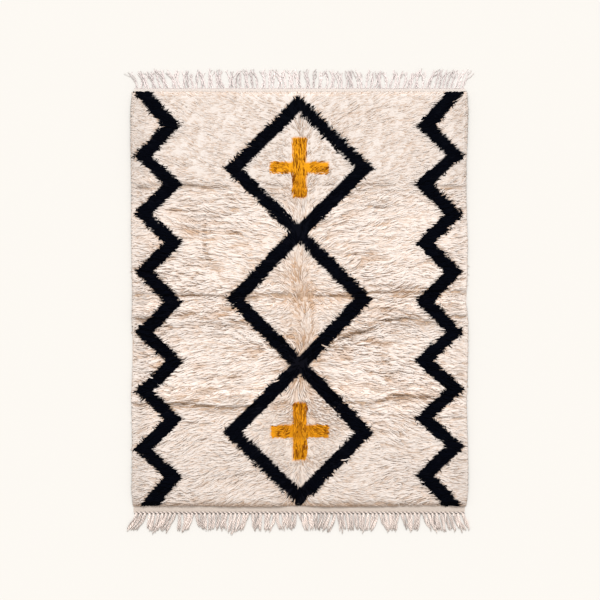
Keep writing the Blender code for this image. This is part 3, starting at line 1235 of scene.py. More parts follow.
def joined_copies(name: str, template: Template, points: Array, uv_scale: Array, marks: dict[str, Array],
                  material: bpy.types.Material) -> bpy.types.Object:
    """Joins copies of a template into one piece.

    Args:
        name: The piece's name.
        template: What is copied.
        points: Place of each point of each copy, as copies by points by 3.
        uv_scale: For each copy, (shift round the strand, turns along it).
        marks: Attributes of the piece, such as its tone, with one value for each copy or each point.
        material: The piece's finish.

    Returns:
        The piece, with its place in its mesh.
    """
    copies, corners = points.shape[:2]
    start_clean()
    mesh = bpy.data.meshes.new(name)
    mesh.vertices.add(copies * corners)
    mesh.vertices.foreach_set("co", points.astype(np.float32).ravel())
    shift = (np.arange(copies) * corners)[:, None]
    loops = (template.loops[None, :] + shift).ravel()
    mesh.loops.add(len(loops))
    mesh.loops.foreach_set("vertex_index", loops.astype(np.int32))
    sizes = np.tile(template.sizes, copies)
    mesh.polygons.add(len(sizes))
    starts = np.concatenate([[0], np.cumsum(sizes)[:-1]])
    mesh.polygons.foreach_set("loop_start", starts.astype(np.int32))
    uv = np.empty((copies, len(template.uv), 2))
    uv[:, :, 0] = template.uv[None, :, 0] + uv_scale[:, 0:1]
    uv[:, :, 1] = template.uv[None, :, 1] * uv_scale[:, 1:2]
    layer = mesh.uv_layers.new(name="strand")
    layer.data.foreach_set("uv", uv.astype(np.float32).ravel())
    for mark, values in marks.items():
        attribute = mesh.attributes.new(mark, "FLOAT", "POINT")
        spread = np.broadcast_to(values.reshape(copies, -1), (copies, corners))
        attribute.data.foreach_set("value", spread.astype(np.float32).ravel())
    mesh.update(calc_edges=True)
    mesh.polygons.foreach_set("use_smooth", np.tile(~template.flat, copies))
    mesh.materials.append(material)
    piece = bpy.data.objects.new(name, mesh)
    bpy.context.scene.collection.objects.link(piece)
    log.info("%s: %d strands, %d triangles", name, copies, copies * (template.sizes - 2).sum())
    return piece


def grid_sheet(name: str, columns: int, rows: int) -> tuple[bpy.types.Object, Array]:
    """Adds a grid and reads its points.

    Args:
        name: The piece's name.
        columns: Its cells across.
        rows: Its cells along.

    Returns:
        The piece, and its points, -1 to 1 in X and Y.
    """
    start_clean()
    bpy.ops.mesh.primitive_grid_add(x_subdivisions=columns, y_subdivisions=rows, size=2.0)
    piece = bpy.context.object
    piece.name = name
    places = np.empty(len(piece.data.vertices) * 3)
    piece.data.vertices.foreach_get("co", places)
    return piece, places.reshape(-1, 3)


def thickened(piece: bpy.types.Object, places: Array, colors: Array, thickness: float,
              material: bpy.types.Material, smooth_to: float = math.radians(40.0)) -> None:
    """Shapes a grid, dyes it and gives it its thickness below.

    Args:
        piece: The grid.
        places: Its points' new places.
        colors: The dye's colour at each point.
        thickness: How thick it becomes.
        material: Its finish.
        smooth_to: The sharpest angle that is shaded as round.
    """
    mesh = piece.data
    mesh.vertices.foreach_set("co", places.ravel())
    layer = mesh.attributes.new("dye", "FLOAT_COLOR", "POINT")
    layer.data.foreach_set("color", colors.astype(np.float32).ravel())
    thicken = piece.modifiers.new("thickness", "SOLIDIFY")
    thicken.thickness = thickness
    thicken.offset = -1.0
    bpy.ops.object.modifier_apply(modifier=thicken.name)
    mesh.shade_smooth()
    mesh.set_sharp_from_angle(angle=smooth_to)
    mesh.materials.append(material)
    log.info("%s: %d faces", piece.name, len(mesh.polygons))


def stand_for(piece: bpy.types.Object, node: str) -> None:
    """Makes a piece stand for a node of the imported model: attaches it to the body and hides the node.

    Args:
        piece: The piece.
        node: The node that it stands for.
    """
    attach(piece, BODY)
    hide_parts(node)


# ---------------------------------------------------------------- pile


class Ground(Enum):
    """Where a kind of lock is planted."""

    FIELD = "all over the pile"
    SIGNS = "in and round the plus signs"
    BORDERS = "along the borders of the dark strokes"


@dataclass(frozen=True)
class Planting:
    """How one kind of lock is set out.

    A lock has the dye of the ground below the share of it that is given as seen_at. Its spike is how far
    its tip may run past the border of that dye, and the greater the rarity, the fewer locks do.
    """

    shape: StrandShape
    wools: tuple[Dye, ...]
    seed: int
    pitch_along: float
    pitch_across: float
    reach: float
    width: float
    lift: float
    lift_spread: float
    turn_spread: float
    curl_spread: float
    spike: float
    spike_rarity: float
    tone_spread: float
    # painted shade, in root colour, on each lock's lower flanks
    flank_painted_shade: float = 0.0
    seen_at: float = 0.78
    ground: Ground = Ground.FIELD
    suffix: str = ""


PLANTINGS = (
    Planting(
        shape=StrandShape("lock", 3, 0.40, ((0.0, 0.60), (0.30, 0.95), (0.60, 1.0), (0.84, 0.74))),
        wools=(Dye.CREAM, Dye.DARK), seed=5,
        pitch_along=0.0203, pitch_across=0.0053, reach=0.066, width=0.0098,
        lift=0.0, lift_spread=0.0005, turn_spread=0.08, curl_spread=0.0022,
        spike=0.016, spike_rarity=7.0, tone_spread=0.02, flank_painted_shade=0.26),
    Planting(
        shape=StrandShape("wisp", 3, 0.80, ((0.0, 0.9), (0.55, 1.0))),
        wools=(Dye.CREAM, Dye.DARK), seed=6, suffix="_wisps",
        pitch_along=0.0220, pitch_across=0.0100, reach=0.034, width=0.0042,
        lift=0.0008, lift_spread=0.0006, turn_spread=0.42, curl_spread=0.0060,
        spike=0.022, spike_rarity=3.0, tone_spread=0.045, flank_painted_shade=0.20),
    Planting(
        shape=StrandShape("tuft", 3, 0.70, ((0.0, 0.80), (0.45, 1.0), (0.80, 0.80))),
        wools=(Dye.MUSTARD,), seed=7, ground=Ground.SIGNS,
        pitch_along=0.0120, pitch_across=0.0048, reach=0.034, width=0.0066,
        lift=0.0004, lift_spread=0.0008, turn_spread=0.10, curl_spread=0.0020,
        spike=0.004, spike_rarity=2.0, tone_spread=0.03),
    Planting(
        shape=StrandShape("bristle", 3, 0.70, ((0.0, 0.80), (0.40, 1.0), (0.72, 0.60))),
        wools=(Dye.DARK,), seed=8, ground=Ground.BORDERS, seen_at=0.10, suffix="_bristles",
        pitch_along=0.0060, pitch_across=0.0060, reach=0.027, width=0.0066,
        lift=0.0012, lift_spread=0.0006, turn_spread=0.10, curl_spread=0.0030,
        spike=0.030, spike_rarity=1.0, tone_spread=0.02),
)


class Locks(NamedTuple):
    """The locks of one planting, as equal arrays."""

    x: Array
    y: Array
    heading: Array
    reach: Array
    width: Array
    sink: Array
    lift: Array
    drift: Array
    curl: Array
    tone: Array
    warmth: Array
    thick: Array
    spin: Array
    tuck: Array

    def only(self, kept: Array) -> Locks:
        """Returns the locks that the mask keeps."""
        return Locks(*(values[kept] for values in self))

    def as_columns(self) -> Locks:
        """Returns the locks with each array as a column, so that a row of shares spreads over it."""
        return Locks(*(values[:, None] for values in self))


def ahead(x: Array, y: Array, heading: Array, distance: Array | float) -> tuple[Array, Array]:
    """Returns each place moved along its heading."""
    return x + np.cos(heading) * distance, y + np.sin(heading) * distance


def scattered(rng: np.random.Generator, spans: tuple[tuple[float, float], ...],
              pitches: tuple[float, float]) -> tuple[Array, Array]:
    """Sets places out in rows and moves each of them off its row.

    Args:
        rng: The random draws.
        spans: From where to where the rows run, in X and in Y.
        pitches: How far apart the places are, in X and in Y.

    Returns:
        X and Y of each place.
    """
    rows = (np.arange(*span, pitch) for span, pitch in zip(spans, pitches))
    x, y = (places.ravel() for places in np.meshgrid(*rows))
    x = x + rng.uniform(-0.5, 0.5, x.size) * pitches[0]
    y = y + rng.uniform(-0.5, 0.5, x.size) * pitches[1]
    return x, y


@dataclass
class Pile:
    """Locks of wool, knotted into the ground in close rows and lying over outwards.

    They gather in long clumps, which are highest down their middle, and the locks along a clump's border,
    which lie lower, show more root colour, partly as painted shade. The locks are trimmed shorter round
    the plus signs, where painted shade darkens them.
    """

    lie: Lie
    design: Design
    bands: int = 4
    half_width: float = 0.81
    root_inset: float = 0.004
    nearest_room: float = 0.004
    least_slope: float = 0.05
    # clumps
    clump_seed: int = 12
    clump_half_width: float = 0.84
    clump_half_length: float = 1.0
    clump_length: float = 0.030
    clump_width: float = 0.0145
    clump_turn: float = 0.10
    clump_tone: float = 0.012
    clump_pull: float = 0.40
    # root colour and painted shade along each clump's lower-lying border
    clump_border: float = 1.3
    border_roots_and_shade: float = 0.22
    border_from: float = 0.25
    crown: float = 0.0020
    # shape of a lock
    reach_spread: float = 0.09
    thinnest: float = 0.65
    widest: float = 1.25
    fold_thinning: float = 0.45
    flat_thickness: float = 0.40
    ruffled_thickness: float = 0.30
    thickness_power: float = 1.5
    drift_power: float = 1.5
    sink: float = 0.0015
    ruffled_sink: float = 0.0055
    sink_power: float = 2.2
    tuck: float = 0.0035
    bordering_tuck: float = -0.0022
    tuck_power: float = 4.0
    lowest_path: float = 0.0030
    lowest_point: float = 0.0008
    look_ahead: float = 0.05
    most_spin: float = 40.0
    judged_at: float = 0.8
    # borders of the design
    root_share: float = 0.30
    edge_cut: float = 0.52
    crossing_step: float = 0.03
    bristle_scatter: float = 1.9
    leaves_between: tuple[float, float] = (0.42, 0.60)
    # trimmed surroundings of the plus signs (with painted shade there and in the seams), and the middle
    # diamond
    trim_box: float = 0.19
    trim_core: float = 0.8
    trim: float = 0.45
    trimmed_warmth: float = 0.14
    trimmed_painted_shade: float = 0.12
    seam_painted_shade: float = 0.14
    heart_scatter: Heart = Heart(2.8, 0.13, 0.20)
    heart_trim: Heart = Heart(0.34, 0.13, 0.20)

    def build(self) -> list[bpy.types.Object]:
        """Plants the pile and joins it into a few pieces, by dye and, for the cream wool, by band.

        Returns:
            The pieces.
        """
        pieces = []
        finishes = {dye: wool.make() for dye, wool in WOOLS.items()}
        edges = np.linspace(self.lie.lower_end, self.lie.upper_end, self.bands + 1)
        for planting in PLANTINGS:
            template = planting.shape.model()
            locks = self._plant(planting)
            seen_x, seen_y, _ = self._path(locks, np.array([[planting.seen_at]]))
            dyes = self.design.dye_at(seen_x[:, 0], seen_y[:, 0])
            for dye in planting.wools:
                bands = zip(edges, edges[1:]) if dye is Dye.CREAM else [(edges[0], edges[-1])]
                for number, (low, high) in enumerate(bands, 1):
                    end = f"_{number}" if dye is Dye.CREAM else ""
                    kept = (dyes == dye.value) & (locks.y >= low) & (locks.y < high)
                    name = f"pile_{dye.name.lower()}{end}{planting.suffix}"
                    pieces.append(self._join(name, planting, template, locks.only(kept), finishes[dye]))
        return pieces

    def _plant(self, planting: Planting) -> Locks:
        """Sets out one kind of lock.

        Args:
            planting: How it is set out.

        Returns:
            Its locks.
        """
        rng = np.random.default_rng(planting.seed)
        x, y, heading = self._rooted(planting, rng)
        count = x.size
        clump_x, clump_y, clump_turn, clump_tone = self._clumps(x, y)
        ruffle = self.lie.ruffle(x, y)
        _, near = self.lie.folds(x, y)
        scatter = ruffle * (1.0 + self.heart_scatter.at(x, y))
        heading = heading + scatter * (clump_turn + rng.normal(0.0, planting.turn_spread, count))
        across = (y - clump_y) * np.cos(heading) - (x - clump_x) * np.sin(heading)
        border = np.clip(np.abs(across) / (0.5 * self.clump_width), 0.0, self.clump_border) ** 2
        trimmed = 1.0 if planting.ground is Ground.SIGNS else self._trimmed(x, y)
        shorter = trimmed * (1.0 - self.heart_trim.at(x, y))
        reach = planting.reach * (1.0 + rng.normal(0.0, self.reach_spread, count)) * shorter
        width = planting.width * rng.uniform(self.thinnest, self.widest, count)
        spike = planting.spike * rng.uniform(0.0, 1.0, count) ** planting.spike_rarity
        tuck = np.full_like(x, self.bordering_tuck)
        if planting.ground is not Ground.BORDERS:
            x, y, reach, tuck = self._kept_off(x, y, heading, reach, spike, planting.seen_at)
        tip_x, tip_y = ahead(x, y, heading, reach * self.judged_at)
        # Root colour, partly painted shade: from the lie and along each clump's lower-lying border.
        warmth = self.lie.warmth(tip_x, tip_y) + self.border_roots_and_shade * ruffle * (border - self.border_from)
        warmth = warmth + self.trimmed_warmth * (1.0 - trimmed)
        # Painted shade on the trimmed pile round the plus signs, and a random tone for each clump and lock.
        tone = 1.0 - self.trimmed_painted_shade * (1.0 - trimmed) + clump_tone
        tone = tone + rng.normal(0.0, planting.tone_spread, count)
        # The tufts' partings in the plus signs show root colour and painted shade.
        if planting.ground is Ground.SIGNS:
            seams = self.design.seams(tip_x, tip_y)
            warmth, tone = warmth + seams, tone - self.seam_painted_shade * seams
        lift = rng.normal(0.0, planting.lift_spread, count) - self.crown * border
        return Locks(
            x=x,
            y=y,
            heading=heading,
            reach=np.minimum(reach, self._room_ahead(x, y, heading)),
            width=width * (1.0 - self.fold_thinning * np.abs(near)),
            sink=self.sink + self.ruffled_sink * ruffle ** 2,
            lift=planting.lift + ruffle * lift,
            drift=-self.clump_pull * across,
            curl=ruffle * rng.normal(0.0, planting.curl_spread, count),
            # painted light and shade of the lie
            tone=tone * self.lie.shade(tip_x, tip_y),
            warmth=np.clip(warmth, 0.0, 1.0),
            thick=self.flat_thickness + self.ruffled_thickness * ruffle ** self.thickness_power,
            spin=rng.uniform(0.0, self.most_spin, count),
            tuck=tuck,
        )

    def _rooted(self, planting: Planting, rng: np.random.Generator) -> tuple[Array, Array, Array]:
        """Finds the roots of one kind of lock.

        Args:
            planting: How it is set out.
            rng: The random draws.

        Returns:
            X, Y and the heading of each lock.
        """
        spans = (-self.half_width, self.half_width), (self.lie.lower_end, self.lie.upper_end)
        x, y = scattered(rng, spans, (planting.pitch_along, planting.pitch_across))
        inside = self.lie.room(x, y) > self.root_inset
        heading = self.lie.lean(x, y)
        if planting.ground is Ground.SIGNS:
            heading = self.design.combed(x, y, heading)
            inside &= self._trimmed(x, y) < 1.0
        if planting.ground is Ground.BORDERS:
            heading = heading + rng.normal(0.0, self.bristle_scatter, x.size)
            inner, outer = (self.design.dye_at(*ahead(x, y, heading, planting.reach * share))
                            for share in self.leaves_between)
            inside &= (inner == Dye.DARK.value) & (outer == Dye.CREAM.value)
        return x[inside], y[inside], heading[inside]

    def _kept_off(self, x: Array, y: Array, heading: Array, reach: Array, spike: Array,
                  seen_at: float) -> tuple[Array, Array, Array, Array]:
        """Shortens the locks that would run from one dye's ground far into another's.

        Args:
            x: Metres across the rug.
            y: Metres along it.
            heading: Each lock's heading.
            reach: Each lock's length.
            spike: How far each lock's tip may run past the border.
            seen_at: The share of a lock whose ground gives it its dye.

        Returns:
            The roots' new X and Y, the new lengths, and how far each tip is tucked in.
        """
        def dye_along(share: float) -> Array:
            """Returns the dye of the ground under this share of each lock."""
            return self.design.dye_at(*ahead(x, y, heading, reach * share))

        seen = dye_along(seen_at)
        cut = np.where(dye_along(self.root_share) != seen, self.edge_cut, 0.0) * reach
        crossing = np.ones_like(reach)
        for share in np.arange(1.0, seen_at, -self.crossing_step):
            crossing[dye_along(share) != seen] = share
        tuck = np.where(crossing < 1.0, self.bordering_tuck, self.tuck)
        shortened = np.minimum(reach, reach * crossing + spike) - cut
        return *ahead(x, y, heading, cut), shortened, tuck

    def _trimmed(self, x: Array, y: Array) -> Array:
        """Works out how far the locks are trimmed round the plus signs.

        Args:
            x: Metres across the rug.
            y: Metres along it.

        Returns:
            The share that is left of their length at each place.
        """
        cut = np.zeros_like(x)
        for plus in self.design.pluses:
            away = np.maximum(np.abs(x - plus.x), np.abs(y - plus.y))
            cut = np.maximum(cut, 1.0 - fade(self.trim_core * self.trim_box, self.trim_box, away))
        return 1.0 - (1.0 - self.trim) * cut

    def _room_ahead(self, x: Array, y: Array, heading: Array) -> Array:
        """Works out how far the locks may reach before they leave the pile's outline.

        Args:
            x: Metres across the rug.
            y: Metres along it.
            heading: Each lock's heading.

        Returns:
            The longest reach of each lock.
        """
        towards_side = np.maximum(np.abs(np.cos(heading)), self.least_slope)
        towards_end = np.maximum(np.abs(np.sin(heading)), self.least_slope)
        room = np.minimum(self.lie.side_room(x, y) / towards_side, self.lie.end_room(x, y) / towards_end)
        return np.maximum(room, self.nearest_room)

    def _clumps(self, x: Array, y: Array) -> tuple[Array, Array, Array, Array]:
        """Gathers roots round the nearest clump.

        Args:
            x: Metres across the rug.
            y: Metres along it.

        Returns:
            The clump's middle in X and Y, its own turn of the heading, and its tone, for each root.
        """
        rng = np.random.default_rng(self.clump_seed)
        halves = self.clump_half_width, self.clump_half_length
        spans = tuple((-half, half) for half in halves)
        found = np.zeros((4, x.size))
        upright = np.abs(x) < self.lie.column_half
        cell = self.clump_length, self.clump_width
        for mine, (cell_x, cell_y) in ((~upright, cell), (upright, cell[::-1])):
            clump_x, clump_y = scattered(rng, spans, (cell_x, cell_y))
            turns = rng.normal(0.0, self.clump_turn, clump_x.size)
            tones = rng.normal(0.0, self.clump_tone, clump_x.size)
            tree = kdtree.KDTree(clump_x.size)
            for number, (at_x, at_y) in enumerate(zip(clump_x / cell_x, clump_y / cell_y)):
                tree.insert((at_x, at_y, 0.0), number)
            tree.balance()
            places = zip(x[mine] / cell_x, y[mine] / cell_y)
            near = np.array([tree.find((at_x, at_y, 0.0))[1] for at_x, at_y in places])
            found[:, mine] = clump_x[near], clump_y[near], turns[near], tones[near]
        return tuple(found)

    def _path(self, locks: Locks, along: Array) -> tuple[Array, Array, Array]:
        """Follows the middle line of each lock.

        Args:
            locks: The locks.
            along: Shares of the way, one row for all locks.

        Returns:
            X, Y and Z, as locks by shares.
        """
        each = locks.as_columns()
        forward = each.reach * along
        aside = each.drift * along ** self.drift_power + each.curl * along ** 2
        cos, sin = np.cos(each.heading), np.sin(each.heading)
        x = each.x + cos * forward - sin * aside
        y = each.y + sin * forward + cos * aside
        x, y = self.lie.waved(x, y)
        drop = each.sink * (1.0 - along).clip(0.0) ** self.sink_power + each.tuck * along ** self.tuck_power
        z = self.lie.height(x, y) - drop + each.lift * along
        return x, y, np.maximum(z, self.lowest_path)

    def _join(self, name: str, planting: Planting, template: Template, locks: Locks,
              finish: bpy.types.Material) -> bpy.types.Object:
        """Bends a copy of the template along each lock's path and joins them into a piece.

        Args:
            name: The piece's name.
            planting: How its locks are set out.
            template: The strand that is copied.
            locks: The locks.
            finish: Their finish.

        Returns:
            The piece.
        """
        across, up, along = template.axes()
        path = np.stack(self._path(locks, along), axis=-1)
        run = np.stack(self._path(locks, along + self.look_ahead), axis=-1) - path
        run /= np.maximum(np.linalg.norm(run, axis=-1, keepdims=True), TINY)
        level = np.maximum(np.hypot(run[..., 0], run[..., 1]), TINY)
        side = np.stack([-run[..., 1] / level, run[..., 0] / level, np.zeros_like(level)], axis=-1)
        above = np.cross(run, side)
        width = locks.width[:, None]
        points = path + side * (width * across)[..., None]
        points += above * (width * locks.thick[:, None] * up)[..., None]
        points[..., 2] = np.maximum(points[..., 2], self.lowest_point)
        uv_scale = np.stack([locks.spin, np.ones_like(locks.spin)], axis=1)
        # Root colour from the lie, with painted shade in root colour on the lower flanks.
        warmth = locks.warmth[:, None] + planting.flank_painted_shade * (up < -TINY)
        marks = {"tone": locks.tone, "warmth": np.clip(warmth, 0.0, 1.0)}
        piece = joined_copies(name, template, points, uv_scale, marks, finish)
        stand_for(piece, "rug_body")
        return piece


@dataclass
class Underwool:
    """The matted lower part of the pile, which fills the room between the ground and the locks."""

    lie: Lie
    design: Design
    columns: int = 120
    rows: int = 150
    half_width: float = 0.792
    end_inset: float = 0.002
    below_top: float = 0.0005
    below_ruffled: float = 0.0036
    thickness: float = 0.0016
    roughness: Unevenness = Unevenness(51, 0.02, 0.02, 0.0012)
    rootiness: float = 0.10
    ruffled_rootiness: float = 0.60
    calm_ruffle: float = 0.5
    fold_roots_and_shade: Ramp = Ramp(1.0, 0.4, 1.1)

    def build(self) -> bpy.types.Object:
        """Models the matted wool from a grid that follows the pile's top.

        Returns:
            The piece.
        """
        piece, places = grid_sheet("matted_wool", self.columns, self.rows)
        x = places[:, 0] * self.half_width
        ends = self.lie.lower_end + self.end_inset, self.lie.upper_end - self.end_inset
        y = np.interp(places[:, 1], (-1.0, 1.0), ends)
        ruffle = self.lie.ruffle(x, y)
        below = self.below_top + self.below_ruffled * ruffle ** 2
        z = self.lie.height(x, y) - below + self.roughness.at(x, y)
        _, near = self.lie.folds(x, y)
        # Root colour, more where the pile is ruffled; in creases it is partly painted shade.
        roots = self.rootiness + self.ruffled_rootiness * (ruffle - self.calm_ruffle)
        roots = np.clip(roots + near * self.fold_roots_and_shade.rise(ruffle), 0.0, 1.0)[:, None]
        tips = np.array([rgba(WOOLS[dye].tip) for dye in Dye])
        dyes = self.design.dye_at(x, y)
        colors = tips[dyes] * (1.0 - roots) + UNDER_TINTS[dyes] * roots
        # painted light and shade of the pile's lie
        colors[:, :3] *= self.lie.shade(x, y)[:, None]
        places = np.stack([x, y, np.maximum(z, self.lie.ground_top + self.thickness)], axis=1)
        thickened(piece, places, colors, self.thickness, UNDERWOOL.make())
        stand_for(piece, "rug_body")
        return piece


# ---------------------------------------------------------------- ground


@dataclass
class GroundCloth:
    """The woven ground, which shows as a flat band past each end of the pile."""

    design: Design
    half_width: float = 0.786
    half_length: float = 1.0045
    thickness: float = 0.004
    columns: int = 48
    rows: int = 72
    band_from: float = 0.965
    edge_wander: float = 0.0015
    edge_waves: float = 14.0

    def build(self) -> bpy.types.Object:
        """Models the cloth from a grid, dyes its knots and gives it its thickness.

        Returns:
            The cloth.
        """
        cloth, places = grid_sheet("woven_ground", self.columns, self.rows)
        across, lengthwise = places[:, 0], places[:, 1]
        wander = self.edge_wander * np.sin(lengthwise * self.edge_waves) * np.abs(across)
        x = across * self.half_width + wander
        y = lengthwise * self.half_length
        colors = UNDER_TINTS[self.design.dye_at(x, y)]
        colors[y > self.band_from] = UPPER_BAND_TINT
        # painted shadow of the pile's lower end on the lower band
        colors[y < -self.band_from] = LOWER_BAND_PAINTED_SHADOW
        places = np.stack([x, y, np.full_like(x, self.thickness)], axis=1)
        thickened(cloth, places, colors, self.thickness, WEAVE.make())
        stand_for(cloth, "rug_body")
        return cloth


# ---------------------------------------------------------------- fringes


@dataclass
class Fringe:
    """The warp ends past one end of the cloth: a twined cord and the tassels that hang from it.

    The side is 1 at the upper end and -1 at the lower one. Tassels lean away from the gaps.
    """

    name: str
    node: str
    yarn: YarnFinish
    side: int
    seed: int
    tassels: int
    length: float
    outer_lean: float
    yarn_radius: float
    looseness: float
    splay: float
    stray: float
    # painted shade towards the tassels' tips
    end_painted_shade: float
    # tone of the cord's second strand, painted shadow between the tassel roots
    gap_painted_shadow_tone: float
    cord_radius: float
    gaps: tuple[float, ...]
    half_width: float = 0.783
    start: float = 1.0048
    lowest: float = 0.0002
    sides: int = 5
    # tassels
    strands: int = 4
    rings: int = 9
    end_width: float = 0.75
    root_stray: float = 0.0009
    push: float = 0.016
    push_reach: float = 0.034
    sway: float = 0.011
    sway_length: float = 0.075
    lean_power: float = 1.4
    splay_power: float = 1.6
    length_spread: float = 0.055
    strand_length_spread: float = 0.06
    fewest_turns: float = 0.7
    opening: float = 0.0
    tip_scatter: float = 0.008
    tip_power: float = 6.0
    root_tightness: Ramp = Ramp(0.70, 0.0, 0.16)
    root_thinness: float = 0.45
    root_thinning: Ramp = Ramp(1.0, 0.0, 0.20)
    # painted light at the tassel roots, against their shade
    root_painted_light: Ramp = Ramp(0.45, 0.0, 0.25)
    wind_height: float = 0.7
    tip_flatness: float = 0.5
    strand_tone_spread: float = 0.16
    ply_pitch: float = 0.011
    most_spin: float = 9.0
    # twined cord
    cord_seed_step: int = 50
    cord_offset: float = 0.0022
    cord_height: float = 0.0030
    cord_overlap: float = 0.02
    cord_rings: int = 5
    cord_ply_pitch: float = 0.011
    # the cord's first strand, lightened as painted light
    cord_painted_light_tone: float = 1.2
    cord_tone_spread: float = 0.05

    def build(self) -> list[bpy.types.Object]:
        """Builds the tassels and the twined cord.

        Returns:
            The two pieces.
        """
        finish = self.yarn.make()
        widths = [1.0] * (self.rings - 1) + [self.end_width] * 2
        made = [
            self._tassels(self._strand("yarn", widths), finish),
            self._cord(self._strand("cord_turn", [1.0] * (self.cord_rings + 1)), finish),
        ]
        for piece in made:
            stand_for(piece, self.node)
        return made

    def _strand(self, name: str, widths: list[float]) -> Template:
        """Models an even strand with blunt ends.

        Args:
            name: The model's name.
            widths: Its width at each of its rings, which are evenly spaced.

        Returns:
            Its template.
        """
        last = len(widths) - 1
        rings = tuple((ring / last, width) for ring, width in enumerate(widths))
        return StrandShape(name, self.sides, 1.0, rings, pointed=False, flat_under=False).model()

    @property
    def pitch(self) -> float:
        """How far apart the tassels are."""
        return 2 * self.half_width / self.tassels

    def _lean(self, x: Array) -> Array:
        """Leans the tassels outwards, and away from the gaps.

        Args:
            x: Metres across the rug, of each tassel's root.

        Returns:
            How far each tip lies to the side of its root.
        """
        lean = self.outer_lean * (x / self.half_width) ** 3
        for gap in self.gaps:
            away = x - gap
            lean = lean + self.push * np.sign(away) * np.exp(-np.abs(away) / self.push_reach)
        return lean

    def _tassels(self, template: Template, finish: bpy.types.Material) -> bpy.types.Object:
        """Lays out each tassel's strands, wound loosely round each other, and joins them.

        Args:
            template: The strand that is copied.
            finish: Its finish.

        Returns:
            The piece.
        """
        rng = np.random.default_rng(self.seed)
        roots = -self.half_width + self.pitch * (np.arange(self.tassels) + 0.5)
        roots = roots + rng.normal(0.0, self.root_stray, self.tassels)
        sway = Unevenness(self.seed, self.sway_length, 0.5, self.sway).at(roots, np.zeros_like(roots))
        lean = self._lean(roots) + sway + rng.normal(0.0, self.stray, self.tassels)
        curl = rng.normal(0.0, self.stray, self.tassels)
        length = self.length * (1.0 + rng.normal(0.0, self.length_spread, self.tassels))
        turns = self.fewest_turns * rng.uniform(1.0, 2.0, self.tassels)
        count = self.tassels * self.strands
        tassel = np.repeat(np.arange(self.tassels), self.strands)
        number = np.tile(np.arange(self.strands), self.tassels)
        phase = TAU * number / self.strands + rng.uniform(0, TAU, self.tassels)[tassel]
        splay = (number - (self.strands - 1) / 2) * self.splay + rng.normal(0.0, 0.5 * self.splay, count)
        length = length[tassel] * (1.0 + rng.normal(0.0, self.strand_length_spread, count))
        across, up, along = template.axes()
        wind = TAU * turns[tassel][:, None] * along + phase[:, None]
        loose = self.looseness * (1.0 + self.opening * along) * (1.0 - self.root_tightness.fall(along))
        thinning = self.root_thinness * self.root_thinning.fall(along)
        thick = 2.0 * self.yarn_radius * (1.0 - thinning)
        path_x = roots[tassel][:, None] + lean[tassel][:, None] * along ** self.lean_power
        path_x = path_x + curl[tassel][:, None] * np.sin(math.pi * along)
        path_x = path_x + splay[:, None] * along ** self.splay_power + loose * np.cos(wind)
        scatter = rng.normal(0.0, self.tip_scatter, count)[:, None] * along ** self.tip_power
        path_x = path_x + self.opening * scatter
        path_z = self.wind_height * loose * (1.0 + np.sin(wind)) * (1.0 - self.tip_flatness * along)
        points = np.empty((*path_x.shape, 3))
        points[:, :, 0] = path_x - self.side * across * thick
        points[:, :, 1] = self.side * (self.start + length[:, None] * along)
        points[:, :, 2] = np.maximum(self.yarn_radius + path_z + up * thick, self.lowest)
        uv_scale = np.stack([rng.uniform(0, self.most_spin, count), length / self.ply_pitch], axis=1)
        tone = 1.0 + rng.normal(0.0, self.strand_tone_spread, count)[:, None]
        # Painted shade towards the tips, painted light at the roots.
        tone = tone - self.end_painted_shade * along ** 2 + self.root_thinness * self.root_painted_light.fall(along)
        return joined_copies(f"tassels_{self.name}", template, points, uv_scale, {"tone": tone}, finish)

    def _cord(self, template: Template, finish: bpy.types.Material) -> bpy.types.Object:
        """Winds two strands round each other along the edge, one turn for each tassel: the second one's
        tone paints the shadow in the gaps between the tassel roots, and the first one is lightened as
        painted light.

        Args:
            template: The piece of strand that is copied.
            finish: Its finish.

        Returns:
            The piece.
        """
        rng = np.random.default_rng(self.seed + self.cord_seed_step)
        count = 2 * self.tassels
        starts = np.repeat(-self.half_width + self.pitch * np.arange(self.tassels), 2)
        phase = np.tile(np.array([0.0, math.pi]), self.tassels)
        across, up, along = template.axes()
        wind = TAU * along + phase[:, None]
        radius = self.cord_radius
        overlapping = along * (1.0 + 2.0 * self.cord_overlap) - self.cord_overlap
        edge = self.side * (self.start + self.cord_offset)
        points = np.empty((*wind.shape, 3))
        points[:, :, 0] = starts[:, None] + overlapping * self.pitch
        points[:, :, 1] = edge + radius * np.cos(wind) + across * 2 * radius
        points[:, :, 2] = self.cord_height + radius * (1.0 + np.sin(wind)) + up * 2 * radius
        points[:, :, 2] = np.maximum(points[:, :, 2], self.lowest)
        spin = rng.uniform(0, self.most_spin, count)
        uv_scale = np.stack([spin, np.full(count, self.pitch / self.cord_ply_pitch)], axis=1)
        # Painted shadow on the second strand, painted light on the first.
        tone = np.where(phase > 0.0, self.gap_painted_shadow_tone, self.cord_painted_light_tone)
        tone = tone * (1.0 + rng.normal(0.0, self.cord_tone_spread, count))
        return joined_copies(f"twined_cord_{self.name}", template, points, uv_scale, {"tone": tone}, finish)


